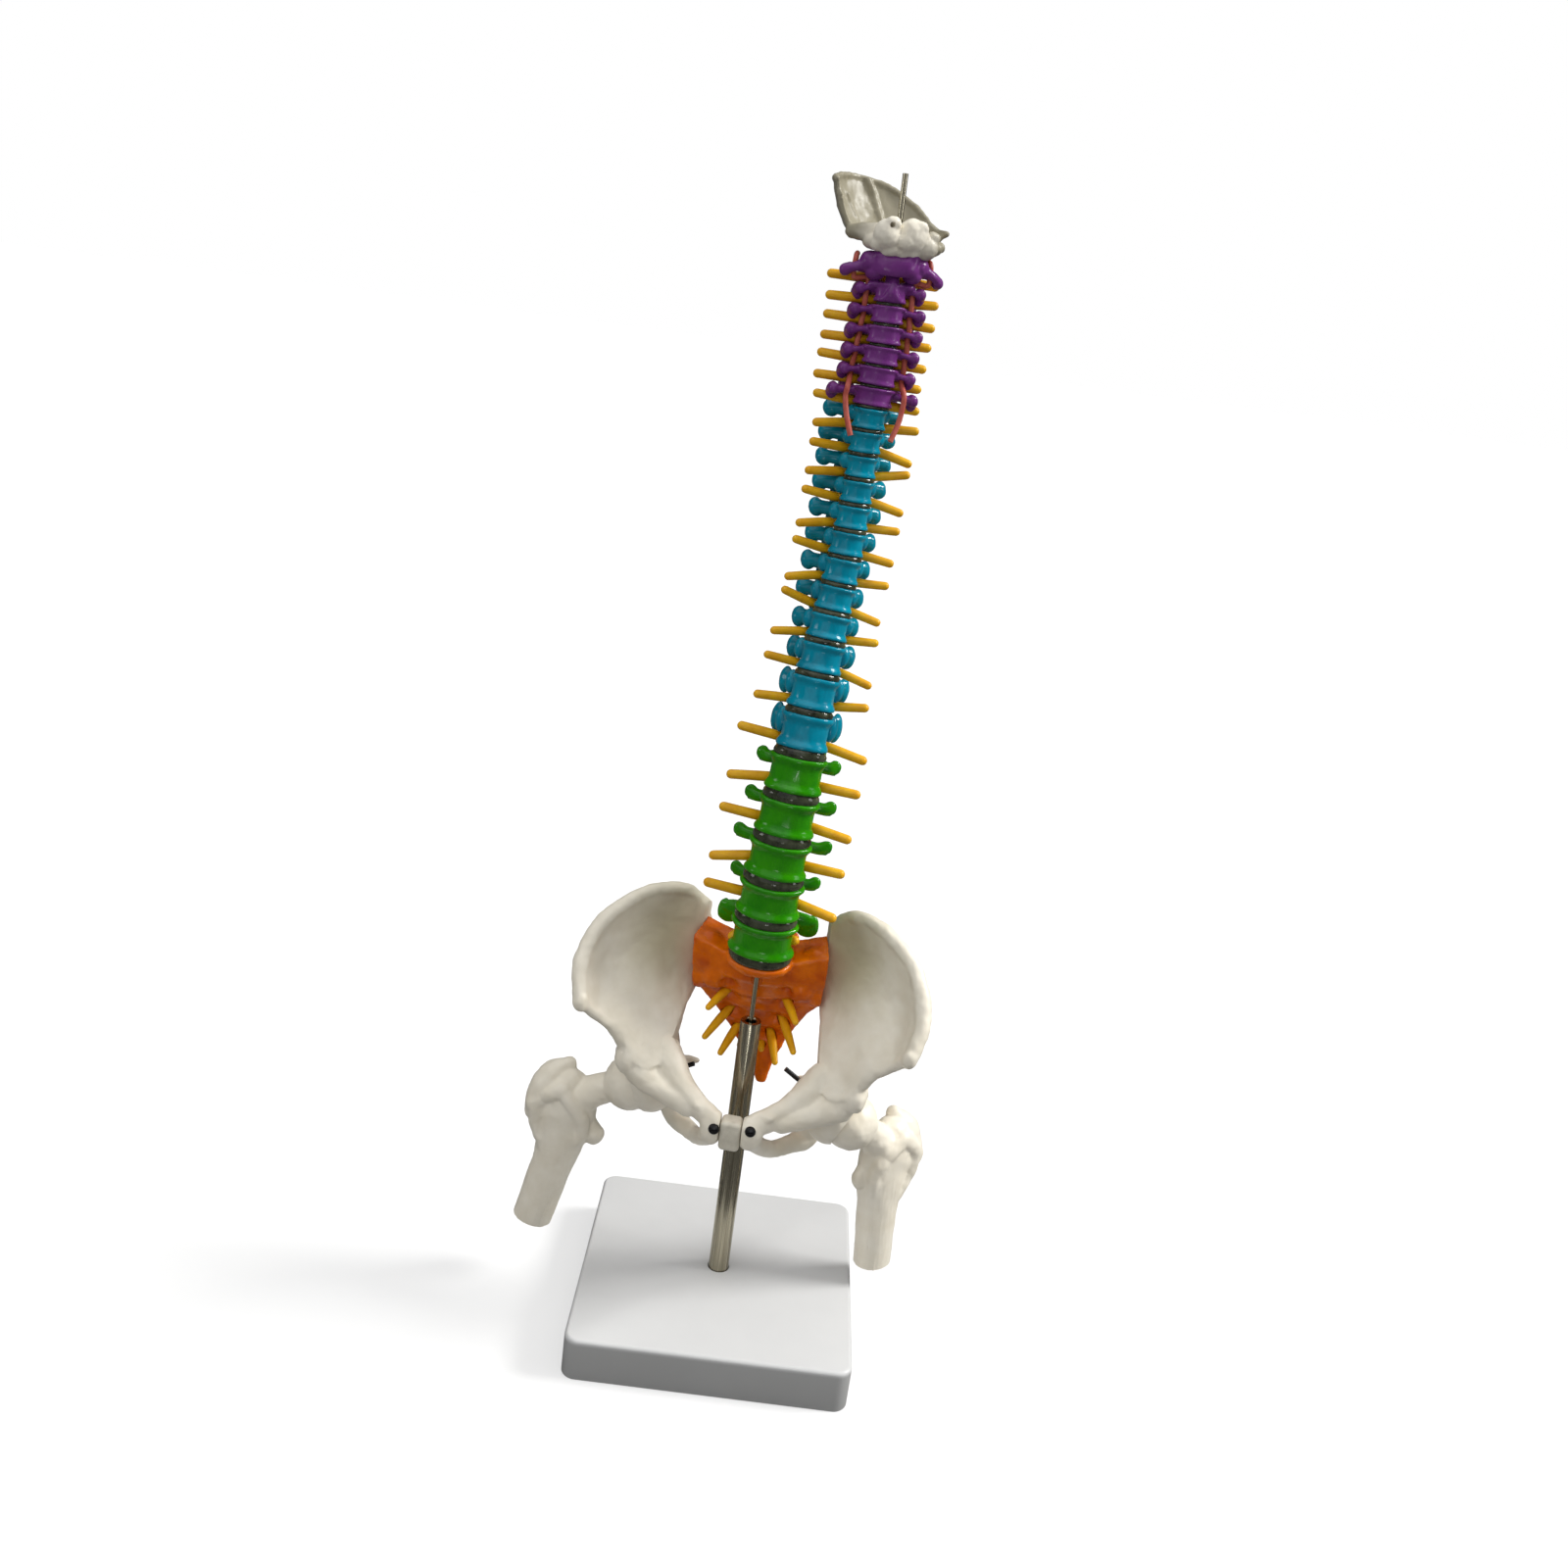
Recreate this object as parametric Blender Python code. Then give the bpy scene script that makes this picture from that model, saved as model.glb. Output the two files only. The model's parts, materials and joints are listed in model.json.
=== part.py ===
"""Half life-size flexible spine model with pelvis and thigh-bone stubs on a stand.

Axes: +Z up, -Y to the front of the body, +X to the viewer's right, which is the
model's own left. The origin is the middle of the base's underside.
Shapes are modelled in millimetres and scaled to metres as they are finished.
Every bone is a union of lofts, swept tubes and curved sheets, melted into one
skin and thinned. The form features are the vertebrae with their arches and
processes, placed by a column path, and the hip bone with its curved wing.
"""
import math

import bmesh
import bpy
import numpy as np
from mathutils import Matrix, Vector

MM = 0.001

# Stand
BASE_SIDE = 115.0
BASE_HEIGHT = 18.7
BASE_CORNER_RADIUS = 6.0
BASE_EDGE_RADIUS = 1.6
POLE_RADIUS = 4.3
POLE_BORE_RADIUS = 2.3
POLE_TOP = 137.3
POLE_SOCKET_DEPTH = 12.0

# Clearances
FIT_GAP = 0.35
WIRE_CLEARANCE = 0.68
SOCKET_GAP = 0.9
CORD_CLEARANCE = 0.5
ARTERY_CLEARANCE = 0.9
WELD = 0.001

# Core rod: a thick lower end and a wire through every vertebral body
FERRULE_RADIUS = 1.8
FERRULE_BOTTOM = 112.0
WIRE_RADIUS = 1.0
WIRE_ABOVE_OCCIPUT = 26.0

# Column, counted from L5 (0) up to C1 (23)
LEVELS = (["L%d" % n for n in range(5, 0, -1)]
          + ["T%d" % n for n in range(12, 0, -1)]
          + ["C%d" % n for n in range(7, 0, -1)])
T12, T1, C7, C3, C2, C1 = 5, 16, 17, 21, 22, 23
COLUMN_START = Vector((0.0, 0.0, 167.0))
PITCH = ((0, 17.8), (4, 17.0), (5, 15.8), (8, 11.0), (12, 9.6), (16, 8.3), (17, 7.3), (21, 6.9),
         (22, 7.4), (23, 9.4))
DISC_SPACE = ((0, 3.7), (4, 3.4), (6, 2.4), (9, 1.9), (16, 1.9), (17, 2.0), (23, 2.0))
TILT = ((0, 8), (1, 6), (3, -2), (5, -9), (8, -10), (12, -4), (16, 0), (19, 2), (23, 0))
LEAN = ((0, 1.5), (2, 4), (6, 5), (9, 6), (12, 2.5), (15, 1.5), (18, 3), (21, 0), (23, -1))
YAW = ((0, -5), (5, -2), (7, 0), (9, 8), (12, 12), (15, 14), (17, 8), (20, 6), (22, 8), (23, 9))
BODY_WIDTH = ((0, 27.0), (4, 22.6), (5, 20.2), (9, 14.6), (14, 11.8), (16, 12.8), (17, 14.6),
              (21, 11.8), (23, 11.8))
BODY_ASPECT = ((0, 0.68), (4, 0.70), (5, 0.74), (8, 0.86), (15, 0.86), (17, 0.68), (23, 0.68))
CANAL_WIDTH = ((0, 12.0), (4, 11.0), (6, 9.0), (15, 9.0), (17, 11.4), (23, 12.0))
CANAL_DEPTH = ((0, 8.2), (5, 8.0), (8, 7.6), (15, 7.6), (17, 7.4), (23, 8.0))
PROCESS_SPAN = ((0, 41.0), (1, 37.0), (2, 40.0), (4, 33.6), (5, 28.5), (8, 27.0), (12, 29.0),
                (16, 31.0), (17, 33.0), (18, 28.0), (22, 27.0), (23, 37.0))
CORD_RADIUS = ((0, 2.4), (5, 2.2), (15, 2.2), (18, 2.6), (23, 2.6))
NERVE_RADIUS = ((0, 2.2), (5, 2.0), (7, 1.75), (16, 1.75), (23, 1.75))
NERVE_REACH = ((0, 15.0), (1, 25.5), (5, 24.0), (6, 20.5), (9, 18.5), (17, 18.5), (22, 19.0))
NERVE_SHIFT = ((16, 0.0), (18, -2.2), (23, -1.6))
NERVE_SIDES = 4
NERVE_DROP_SCALE = ((15, 1.0), (17, 0.15), (23, 0.15))
NERVE_DROP = (-2.2, 1.5, -1.0, 2.4, -1.8, 0.6, -2.6, 1.2)
SACRAL_ROOTS = ((20.5, 153.0), (24.0, 144.5), (25.0, 135.5), (25.0, 127.0))
SACRAL_TIPS = ((18.0, 0.5, 139.5), (18.5, 4.5, 124.0), (14.0, 7.0, 116.5), (9.0, 9.5, 112.0))
SACRAL_NERVE_RADIUS = 1.6
ARTERY_RADIUS = 1.2
ATLAS_HOLE = Vector((13.4, 1.9, -1.0))
DISC_INSET = 0.955

# Pelvis: everything below the column turns a little to the model's right
PELVIS_YAW = -5.5
S1_TILT = 13.0
HEAD_CENTRE = Vector((46.2, 0.0, 99.5))
HEAD_RADIUS = 11.5
SYMPHYSIS_HALF_WIDTH = 4.2
SYMPHYSIS_CENTRE = Vector((0.0, -25.5, 100.0))
SYMPHYSIS_SIZE = Vector((2.0 * SYMPHYSIS_HALF_WIDTH, 8.0, 13.0))
SACROILIAC_X = 28.6
SACROILIAC_SLOPE = 10.0
SACROILIAC_GAP = 0.2
FEMUR_END = {-1: 79.5, 1: 73.5}
FEMUR_SPLAY = {-1: 13.7, 1: 3.5}
FEMUR_TWIST = {-1: 0.0, 1: 42.0}

# Occiput
OCCIPUT_YAW = 12.0
OCCIPUT_RIM = ((-21, 23.5), (-13, 27.0), (-2, 27.0), (8, 24.5), (15, 19.5), (18, 16.0), (21, 10.0))

# Skin resolution and triangle counts
BONE_VOXEL = 0.5
LARGE_BONE_VOXEL = 0.9
TRIANGLES = {"vertebra": 180, "atlas": 220, "hip": 640, "femur": 340, "sacrum": 400,
             "occiput": 320}

COLOURS = {
    "cervical": (0.205, 0.048, 0.270),
    "thoracic": (0.012, 0.310, 0.455),
    "lumbar": (0.075, 0.380, 0.020),
    "sacrum": (0.640, 0.095, 0.008),
    "bone": (0.740, 0.690, 0.560),
    "nerve": (0.740, 0.330, 0.015),
    "artery": (0.510, 0.085, 0.060),
    "disc": (0.300, 0.320, 0.310),
    "base": (0.800, 0.800, 0.790),
    "steel": (0.430, 0.430, 0.410),
    "cushion": (0.450, 0.440, 0.400),
}


def keyed(table, position):
    """Value at a position in a table of (position, value) pairs."""
    return float(np.interp(position, [row[0] for row in table], [row[1] for row in table]))


def rotation(tilt, lean, yaw):
    """Turn from a forward tilt, a lean to +X and a yaw to the left, in degrees."""
    turn = Matrix.Rotation(math.radians(lean), 4, "Y")
    turn @= Matrix.Rotation(math.radians(tilt), 4, "X")
    return turn @ Matrix.Rotation(math.radians(yaw), 4, "Z")


def column_frames():
    """Frame at the middle of every vertebra, and the top of the column."""
    foot = COLUMN_START.copy()
    frames = []
    for level in range(len(LEVELS)):
        turn = rotation(keyed(TILT, level), keyed(LEAN, level), keyed(YAW, level))
        rise = turn.to_3x3() @ Vector((0.0, 0.0, keyed(PITCH, level)))
        frames.append(Matrix.Translation(foot + rise / 2) @ turn)
        foot = foot + rise
    return frames, foot


def smooth_path(keys, steps):
    """Curve through rows of numbers, with the given steps between rows."""
    rows = np.array([keys[0]] + list(keys) + [keys[-1]], dtype=float)
    points = []
    for i in range(1, len(rows) - 2):
        a, b, c, d = rows[i - 1:i + 3]
        for step in range(steps):
            t = step / steps
            points.append(0.5 * (2 * b + (c - a) * t + (2 * a - 5 * b + 4 * c - d) * t ** 2
                                 + (3 * b - a - 3 * c + d) * t ** 3))
    points.append(rows[-2])
    return points


def loft(bm, rings):
    """Closed solid through rings that have the same number of points."""
    rows = [[bm.verts.new(point) for point in ring] for ring in rings]
    count = len(rows[0])
    for low, high in zip(rows, rows[1:]):
        for k in range(count):
            bm.faces.new((low[k], low[(k + 1) % count], high[(k + 1) % count], high[k]))
    bm.faces.new(list(reversed(rows[0])))
    bm.faces.new(rows[-1])


def tube(bm, keys, side=(1.0, 0.0, 0.0), steps=4, sides=12, domes=(0.6, 0.92)):
    """Swept oval through rows of x, y, z, half width along side, half height."""
    rows = smooth_path(keys, steps)
    centres = [Vector(row[:3]) for row in rows]
    rings = []
    for i, row in enumerate(rows):
        tangent = (centres[min(i + 1, len(rows) - 1)] - centres[max(i - 1, 0)]).normalized()
        across = Vector(side)
        across = (across - across.dot(tangent) * tangent).normalized()
        over = tangent.cross(across)
        ends = [(0.0, 1.0)]
        if i in (0, len(rows) - 1):
            reach = min(row[3], row[4]) * (1 if i else -1)
            ends = [(0.0, 1.0)] + [(reach * s, math.sqrt(1.0 - s * s)) for s in domes]
            ends = ends if i else list(reversed(ends))
        for shift, scale in ends:
            rings.append([centres[i] + tangent * shift
                          + across * (math.cos(a) * row[3] * scale)
                          + over * (math.sin(a) * row[4] * scale)
                          for a in (2 * math.pi * k / sides for k in range(sides))])
    loft(bm, rings)


def ball(bm, centre, radii):
    """Ellipsoid."""
    size = Matrix.Diagonal((*radii, 1.0))
    bmesh.ops.create_uvsphere(bm, u_segments=16, v_segments=10, radius=1.0,
                              matrix=Matrix.Translation(centre) @ size)


def sheet(bm, rows, steps=3):
    """Curved plate through rows of x, y, z, thickness."""
    lines = [smooth_path(row, steps) for row in rows]
    grid = np.array([smooth_path([line[k] for line in lines], steps)
                     for k in range(len(lines[0]))])
    along = np.gradient(grid[:, :, :3], axis=0)
    across = np.gradient(grid[:, :, :3], axis=1)
    normal = np.cross(along, across)
    normal /= np.linalg.norm(normal, axis=2, keepdims=True)
    offset = normal * grid[:, :, 3:4] / 2
    faces = [[[bm.verts.new(point) for point in line] for line in grid[:, :, :3] + sign * offset]
             for sign in (1, -1)]
    count_a, count_b = grid.shape[:2]
    for side in faces:
        for a in range(count_a - 1):
            for b in range(count_b - 1):
                bm.faces.new((side[a][b], side[a + 1][b], side[a + 1][b + 1], side[a][b + 1]))
    rim = ([(a, 0) for a in range(count_a - 1)] + [(count_a - 1, b) for b in range(count_b - 1)]
           + [(a, count_b - 1) for a in range(count_a - 1, 0, -1)]
           + [(0, b) for b in range(count_b - 1, 0, -1)])
    for here, there in zip(rim, rim[1:] + rim[:1]):
        bm.faces.new((faces[0][here[0]][here[1]], faces[1][here[0]][here[1]],
                      faces[1][there[0]][there[1]], faces[0][there[0]][there[1]]))


def new_object(name, bm):
    """Object from a bmesh whose closed shapes all face outward."""
    bmesh.ops.recalc_face_normals(bm, faces=bm.faces)
    mesh = bpy.data.meshes.new(name)
    bm.to_mesh(mesh)
    bm.free()
    obj = bpy.data.objects.new(name, mesh)
    bpy.context.collection.objects.link(obj)
    return obj


def apply_modifiers(obj):
    """Replace the mesh by what its modifiers make of it."""
    bpy.context.view_layer.update()
    depsgraph = bpy.context.evaluated_depsgraph_get()
    mesh = bpy.data.meshes.new_from_object(obj.evaluated_get(depsgraph))
    obj.modifiers.clear()
    obj.data = mesh


def combine(obj, tool, operation="DIFFERENCE"):
    """Boolean with a tool object, which is then removed."""
    modifier = obj.modifiers.new(operation.title(), "BOOLEAN")
    modifier.operation = operation
    modifier.solver = "EXACT"
    modifier.object = tool
    apply_modifiers(obj)
    bpy.data.objects.remove(tool)


def melt(obj, voxel, soften, triangles):
    """Turn overlapping closed shapes into one thinned skin."""
    skin = obj.modifiers.new("Skin", "REMESH")
    skin.mode = "VOXEL"
    skin.voxel_size = voxel
    smooth = obj.modifiers.new("Soften", "SMOOTH")
    smooth.iterations = soften
    apply_modifiers(obj)
    obj.data.calc_loop_triangles()
    thin = obj.modifiers.new("Thin", "DECIMATE")
    thin.ratio = triangles / len(obj.data.loop_triangles)
    thin.use_collapse_triangulate = True
    apply_modifiers(obj)


def weld(obj):
    """Close the hairline seams that cutting may leave and split faces of many corners."""
    bm = bmesh.new()
    bm.from_mesh(obj.data)
    bmesh.ops.remove_doubles(bm, verts=bm.verts, dist=WELD)
    bmesh.ops.dissolve_degenerate(bm, dist=WELD, edges=bm.edges)
    bmesh.ops.triangulate(bm, faces=[face for face in bm.faces if len(face.verts) > 4])
    bm.to_mesh(obj.data)
    bm.free()


def rod(start, end, radius, sides=12):
    """Straight cylinder between two points, as a cutting tool."""
    bm = bmesh.new()
    keys = [(*start, radius, radius), (*end, radius, radius)]
    axis = (Vector(end) - Vector(start)).normalized()
    side = (1.0, 0.0, 0.0) if abs(axis.x) < 0.7 else (0.0, 1.0, 0.0)
    tube(bm, keys, side=side, steps=1, sides=sides, domes=())
    return new_object("cutter", bm)


def box(low, high, turn=None):
    """Box between two corners, as a cutting tool or a block."""
    bm = bmesh.new()
    low, high = Vector(low), Vector(high)
    size = Matrix.Diagonal((*(high - low), 1.0))
    bmesh.ops.create_cube(bm, size=1.0, matrix=Matrix.Translation((low + high) / 2) @ size)
    if turn:
        bmesh.ops.transform(bm, matrix=turn, verts=bm.verts)
    return new_object("cutter", bm)


def material(name):
    """Principled material from the colour table."""
    existing = bpy.data.materials.get(name)
    if existing:
        return existing
    made = bpy.data.materials.new(name)
    made.use_nodes = True
    shader = made.node_tree.nodes["Principled BSDF"]
    shader.inputs["Base Color"].default_value = (*COLOURS[name], 1.0)
    shader.inputs["Roughness"].default_value = 0.3 if name in ("steel", "disc") else 0.4
    shader.inputs["Metallic"].default_value = 1.0 if name == "steel" else 0.0
    return made


def finish(obj, name, colour, place=Matrix.Identity(4)):
    """Name and colour a piece, scale its mesh to metres and put it in place."""
    obj.name = name
    obj.data.name = name
    weld(obj)
    obj.data.transform(Matrix.Scale(MM, 4))
    obj.data.materials.clear()
    obj.data.materials.append(material(colour))
    obj.data.shade_smooth()
    obj.data.set_sharp_from_angle(angle=math.radians(40))
    obj.matrix_world = Matrix.Translation(place.translation * MM) @ place.to_3x3().to_4x4()
    return obj


def level_sizes(level):
    """Sizes of one vertebra, from the tables."""
    width = keyed(BODY_WIDTH, level)
    depth = width * keyed(BODY_ASPECT, level)
    pitch = keyed(PITCH, level)
    canal_depth = keyed(CANAL_DEPTH, level)
    return {
        "pitch": pitch,
        "height": pitch - keyed(DISC_SPACE, level),
        "width": width,
        "depth": depth,
        "back": depth * 0.42,
        "canal_width": keyed(CANAL_WIDTH, level),
        "canal_depth": canal_depth,
        "canal_y": depth * 0.42 + canal_depth / 2,
        "arch_y": depth * 0.42 + canal_depth + 0.6,
        "reach": keyed(PROCESS_SPAN, level) / 2,
    }


def body_ring(width, depth, z, sides=20):
    """Kidney outline of a vertebral body, flatter behind than in front."""
    points = []
    for k in range(sides):
        a = 2 * math.pi * k / sides
        x = math.sin(a) * width / 2
        y = -math.cos(a) * depth / 2
        if y > 0:
            y *= 0.84 * (1.0 - 0.12 * math.cos(math.pi * x / width) ** 4)
        points.append(Vector((x, y, z)))
    return points


def add_body(bm, s, waist=0.87):
    """Waisted drum with lipped rims."""
    half = s["height"] / 2
    profile = ((-1.0, 0.955), (-0.86, 1.0), (-0.6, 0.95), (-0.3, waist + 0.02), (0.0, waist),
               (0.3, waist + 0.02), (0.6, 0.95), (0.86, 1.0), (1.0, 0.955))
    loft(bm, [body_ring(s["width"] * scale, s["depth"] * scale, half * z)
              for z, scale in profile])


def add_arch(bm, s, pedicle_z, pedicle_height, lamina_height):
    """Two pedicles and two laminae round the canal."""
    hip = s["canal_width"] / 2 + 1.2
    for side in (-1, 1):
        tube(bm, [(side * (hip - 1.0), s["back"] * 0.4, pedicle_z, 1.5, pedicle_height / 2),
                  (side * hip, s["canal_y"] - 0.5, pedicle_z, 1.3, pedicle_height / 2),
                  (side * hip * 0.97, s["arch_y"] - 1.4, pedicle_z - 0.4, 1.5, pedicle_height / 2)])
        tube(bm, [(side * hip * 0.97, s["arch_y"] - 1.4, pedicle_z - 0.6, 1.2, lamina_height * 0.4),
                  (side * hip * 0.6, s["arch_y"] + 0.6, -0.1 * lamina_height, 1.1, lamina_height / 2),
                  (0.0, s["arch_y"] + 2.0, -0.16 * lamina_height, 1.3, lamina_height / 2)],
             side=(0.3 * side, 1.0, 0.0))


def add_articular(bm, x, y, top, bottom, size, deep, offset, step):
    """Upper processes, and lower ones set back by a step to pass behind the next."""
    for side in (-1, 1):
        for column, row, end in ((x, y, top), (x - offset, y + step, bottom)):
            tube(bm, [(side * column, row, 0.0, size, deep * 1.2),
                      (side * column, row, end * 0.6, size, deep * 1.1),
                      (side * column, row, end, size * 0.9, deep)])


def lumbar_vertebra(bm, s, level):
    """Broad body, blade-like side processes and a deep hatchet behind."""
    add_body(bm, s)
    add_arch(bm, s, 0.16 * s["pitch"], 0.42 * s["pitch"], 0.56 * s["pitch"])
    hip = s["canal_width"] / 2 + 1.8
    thick = 1.9 if level == 0 else 1.5
    tall = 3.2 if level == 0 else 2.3
    for side in (-1, 1):
        tube(bm, [(side * (hip - 1.0), s["canal_y"] + 1.0, 0.14 * s["pitch"], thick + 0.4, tall),
                  (side * (hip + s["reach"]) * 0.5, s["canal_y"] + 0.8, 0.12 * s["pitch"], thick, tall),
                  (side * (s["reach"] - 1.6), s["canal_y"] + 2.2, 0.15 * s["pitch"], thick, tall)],
             side=(0.0, 1.0, 0.0))
    add_articular(bm, hip + 0.8, s["arch_y"] + 0.4, 0.54 * s["pitch"], -0.56 * s["pitch"],
                  2.0, 1.15, 2.9, 3.0)
    blade = 0.27 * s["pitch"]
    tube(bm, [(0.0, s["arch_y"] + 1.0, -0.10 * s["pitch"], 1.3, blade),
              (0.0, s["arch_y"] + 7.0, -0.13 * s["pitch"], 1.1, blade * 0.95),
              (0.0, s["arch_y"] + 13.0, -0.20 * s["pitch"], 1.6, blade * 1.02)])


def thoracic_vertebra(bm, s, level):
    """Heart-shaped body, knobbed side processes and a long spine sloping down."""
    add_body(bm, s)
    add_arch(bm, s, 0.16 * s["pitch"], 0.40 * s["pitch"], 0.60 * s["pitch"])
    hip = s["canal_width"] / 2 + 1.4
    knob = 2.3 if level > T12 + 1 else 2.0
    for side in (-1, 1):
        tube(bm, [(side * hip, s["canal_y"] + 1.6, 0.14 * s["pitch"], 1.9, 1.9),
                  (side * (hip + s["reach"]) * 0.5, s["canal_y"] + 3.2, 0.17 * s["pitch"], 1.6, 1.7),
                  (side * (s["reach"] - knob), s["arch_y"] + 1.0, 0.20 * s["pitch"], knob, 2.0)],
             side=(0.0, 1.0, 0.0))
    add_articular(bm, hip - 0.6, s["arch_y"] - 1.0, 0.54 * s["pitch"], -0.54 * s["pitch"],
                  1.7, 0.75, 0.3, 3.7 if level == T12 else 2.9)
    slope = keyed(((5, 0.25), (8, 0.75), (11, 1.0), (14, 0.7), (16, 0.35)), level)
    length = keyed(((5, 10.0), (8, 11.5), (16, 12.5)), level)
    blade = keyed(((5, 3.4), (7, 2.2), (16, 1.8)), level)
    start = s["arch_y"] + 1.2
    tube(bm, [(0.0, start, -0.12 * s["pitch"], 1.3, blade * 1.15),
              (0.0, start + length * 0.5, -0.14 * s["pitch"] - slope * length * 0.42, 1.1, blade),
              (0.0, start + length, -0.16 * s["pitch"] - slope * length * 0.9, 1.3, blade * 0.85)])


def artery_hole(s):
    """Middle of the artery's hole in a neck vertebra's left process."""
    return Vector((s["width"] / 2 + 2.5, 2.0, 0.14 * s["pitch"]))


def neck_process(bm, s, reach, drop=-0.8):
    """Side process of a neck vertebra, wide enough for the artery's hole."""
    hole = artery_hole(s)
    for side in (-1, 1):
        tube(bm, [(side * (s["width"] / 2 - 1.0), hole.y, hole.z, 2.8, 1.5),
                  (side * hole.x, hole.y + 0.1, hole.z, 3.6, 1.4),
                  (side * (reach - 1.2), hole.y - 0.4, hole.z + drop, 2.4, 1.4)],
             side=(0.0, 1.0, 0.0))


def cervical_vertebra(bm, s, level):
    """Small body with side lips, processes with holes and a forked spine."""
    add_body(bm, s, waist=0.90)
    add_arch(bm, s, 0.15 * s["pitch"], 0.34 * s["pitch"], 0.50 * s["pitch"])
    neck_process(bm, s, s["reach"])
    hip = s["canal_width"] / 2 + 3.2
    top = (0.10 if level == C2 else 0.50) * s["pitch"]
    add_articular(bm, hip, s["canal_y"] + 3.6, top, -0.50 * s["pitch"], 3.0, 1.15, 0.0, 3.3)
    for side in (-1, 1):
        tube(bm, [(side * (s["width"] / 2 - 0.5), -1.2, s["height"] / 2 - 0.8, 0.7, 0.8),
                  (side * (s["width"] / 2 - 0.5), 1.2, s["height"] / 2 - 0.8, 0.7, 0.75)])
    length = 13.0 if level == C7 else 7.0
    fork = 0.3 if level == C7 else 1.7
    start = s["arch_y"] + 1.2
    for side in (-1, 1):
        tube(bm, [(0.0, start, -0.10 * s["pitch"], 1.2, 1.4),
                  (side * fork * 0.3, start + length * 0.5, -0.22 * s["pitch"], 1.0, 1.2),
                  (side * fork, start + length, -0.40 * s["pitch"], 1.0, 1.1)])


def axis_vertebra(bm, s, level):
    """Second neck vertebra: shoulders and the upright peg."""
    cervical_vertebra(bm, dict(s, reach=s["reach"] - 0.8), level)
    top = s["height"] / 2
    tube(bm, [(0.0, 0.0, 0.0, 3.2, 3.0), (0.0, 0.0, top + 1.5, 2.5, 2.5),
              (0.0, 0.3, top + 7.4, 2.1, 2.1)])
    for side in (-1, 1):
        ball(bm, (side * 5.6, 1.6, top - 0.8), (3.4, 3.6, 1.9))


def atlas_vertebra(bm, s):
    """Top neck vertebra: a ring with side masses and wide processes."""
    front = -4.7
    back = s["arch_y"] + 3.0
    for side in (-1, 1):
        tube(bm, [(0.0, front, 0.2, 1.5, 3.4), (side * 4.6, front + 0.8, 0.2, 1.5, 3.1),
                  (side * 8.2, front + 4.2, 0.5, 1.8, 2.6)], side=(0.0, 1.0, 0.0))
        ball(bm, (side * 8.4, 1.0, 0.7), (3.6, 4.8, 2.9))
        tube(bm, [(side * 9.2, 1.0, 0.2, 2.6, 2.2), (side * ATLAS_HOLE.x, 2.0, ATLAS_HOLE.z, 3.4, 1.6),
                  (side * (s["reach"] - 1.6), 3.0, -2.8, 2.2, 1.9)], side=(0.0, 1.0, 0.0))
        tube(bm, [(side * 9.0, 3.6, 0.4, 1.3, 1.9), (side * 8.2, back - 5.0, 0.4, 1.1, 1.7),
                  (side * 4.4, back - 1.4, 0.4, 1.1, 1.8), (0.0, back, 0.4, 1.3, 2.0)],
             side=(1.0, 0.4 * side, 0.0))


def build_vertebra(level, frame):
    """One vertebra, with its hole for the wire and, in the neck, for the arteries."""
    s = level_sizes(level)
    bm = bmesh.new()
    if level == C1:
        atlas_vertebra(bm, s)
    elif level == C2:
        axis_vertebra(bm, s, level)
    elif level >= C7:
        cervical_vertebra(bm, s, level)
    elif level >= T12:
        thoracic_vertebra(bm, s, level)
    else:
        lumbar_vertebra(bm, s, level)
    obj = new_object("vertebra", bm)
    melt(obj, BONE_VOXEL, 3, TRIANGLES["atlas" if level >= C2 else "vertebra"])
    reach = s["pitch"] * 2
    if level < C1:
        combine(obj, rod((0, 0, -reach), (0, 0, reach), WIRE_RADIUS + WIRE_CLEARANCE, sides=8))
    if level > C7:
        for side in (-1, 1):
            x, y = (ATLAS_HOLE if level == C1 else artery_hole(s)).xy
            combine(obj, rod((side * x, y, -6), (side * x, y, 6), ARTERY_RADIUS + ARTERY_CLEARANCE, 6))
    names = {"L": "lumbar", "T": "thoracic", "C": "cervical"}
    colour = names[LEVELS[level][0]]
    return finish(obj, "vertebra_" + LEVELS[level], colour, frame)


def build_disc(level, frames):
    """Pad between a vertebra and the one above it; level -1 lies on the sacrum."""
    upper = frames[level + 1]
    s_up = level_sizes(level + 1)
    if level < 0:
        lower, s_low = sacrum_top_frame(), s_up
        low_z = 0.0
    else:
        lower, s_low = frames[level], level_sizes(level)
        low_z = s_low["height"] / 2
    scale = DISC_INSET if level < C7 else 0.8
    rings = []
    for frame, s, z in ((lower, s_low, low_z + FIT_GAP), (upper, s_up, -s_up["height"] / 2 - FIT_GAP)):
        ring = body_ring(s["width"] * scale * 0.955, s["depth"] * scale * 0.955, z, sides=10)
        rings.append([frame @ point for point in ring])
    middle = [(a + b) / 2 for a, b in zip(*rings)]
    centre = sum(middle, Vector()) / len(middle)
    rings.insert(1, [centre + (point - centre) * 1.045 for point in middle])
    bm = bmesh.new()
    loft(bm, rings)
    obj = new_object("disc", bm)
    ends = (lower @ Vector((0, 0, low_z)), upper @ Vector((0, 0, -s_up["height"] / 2)))
    overrun = (ends[1] - ends[0]) * 2
    radius = WIRE_RADIUS if level >= 0 else FERRULE_RADIUS
    combine(obj, rod(ends[0] - overrun, ends[1] + overrun, radius + WIRE_CLEARANCE, sides=6))
    below = LEVELS[level] if level >= 0 else "S1"
    return finish(obj, "disc_%s_%s" % (LEVELS[level + 1], below), "disc")


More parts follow.
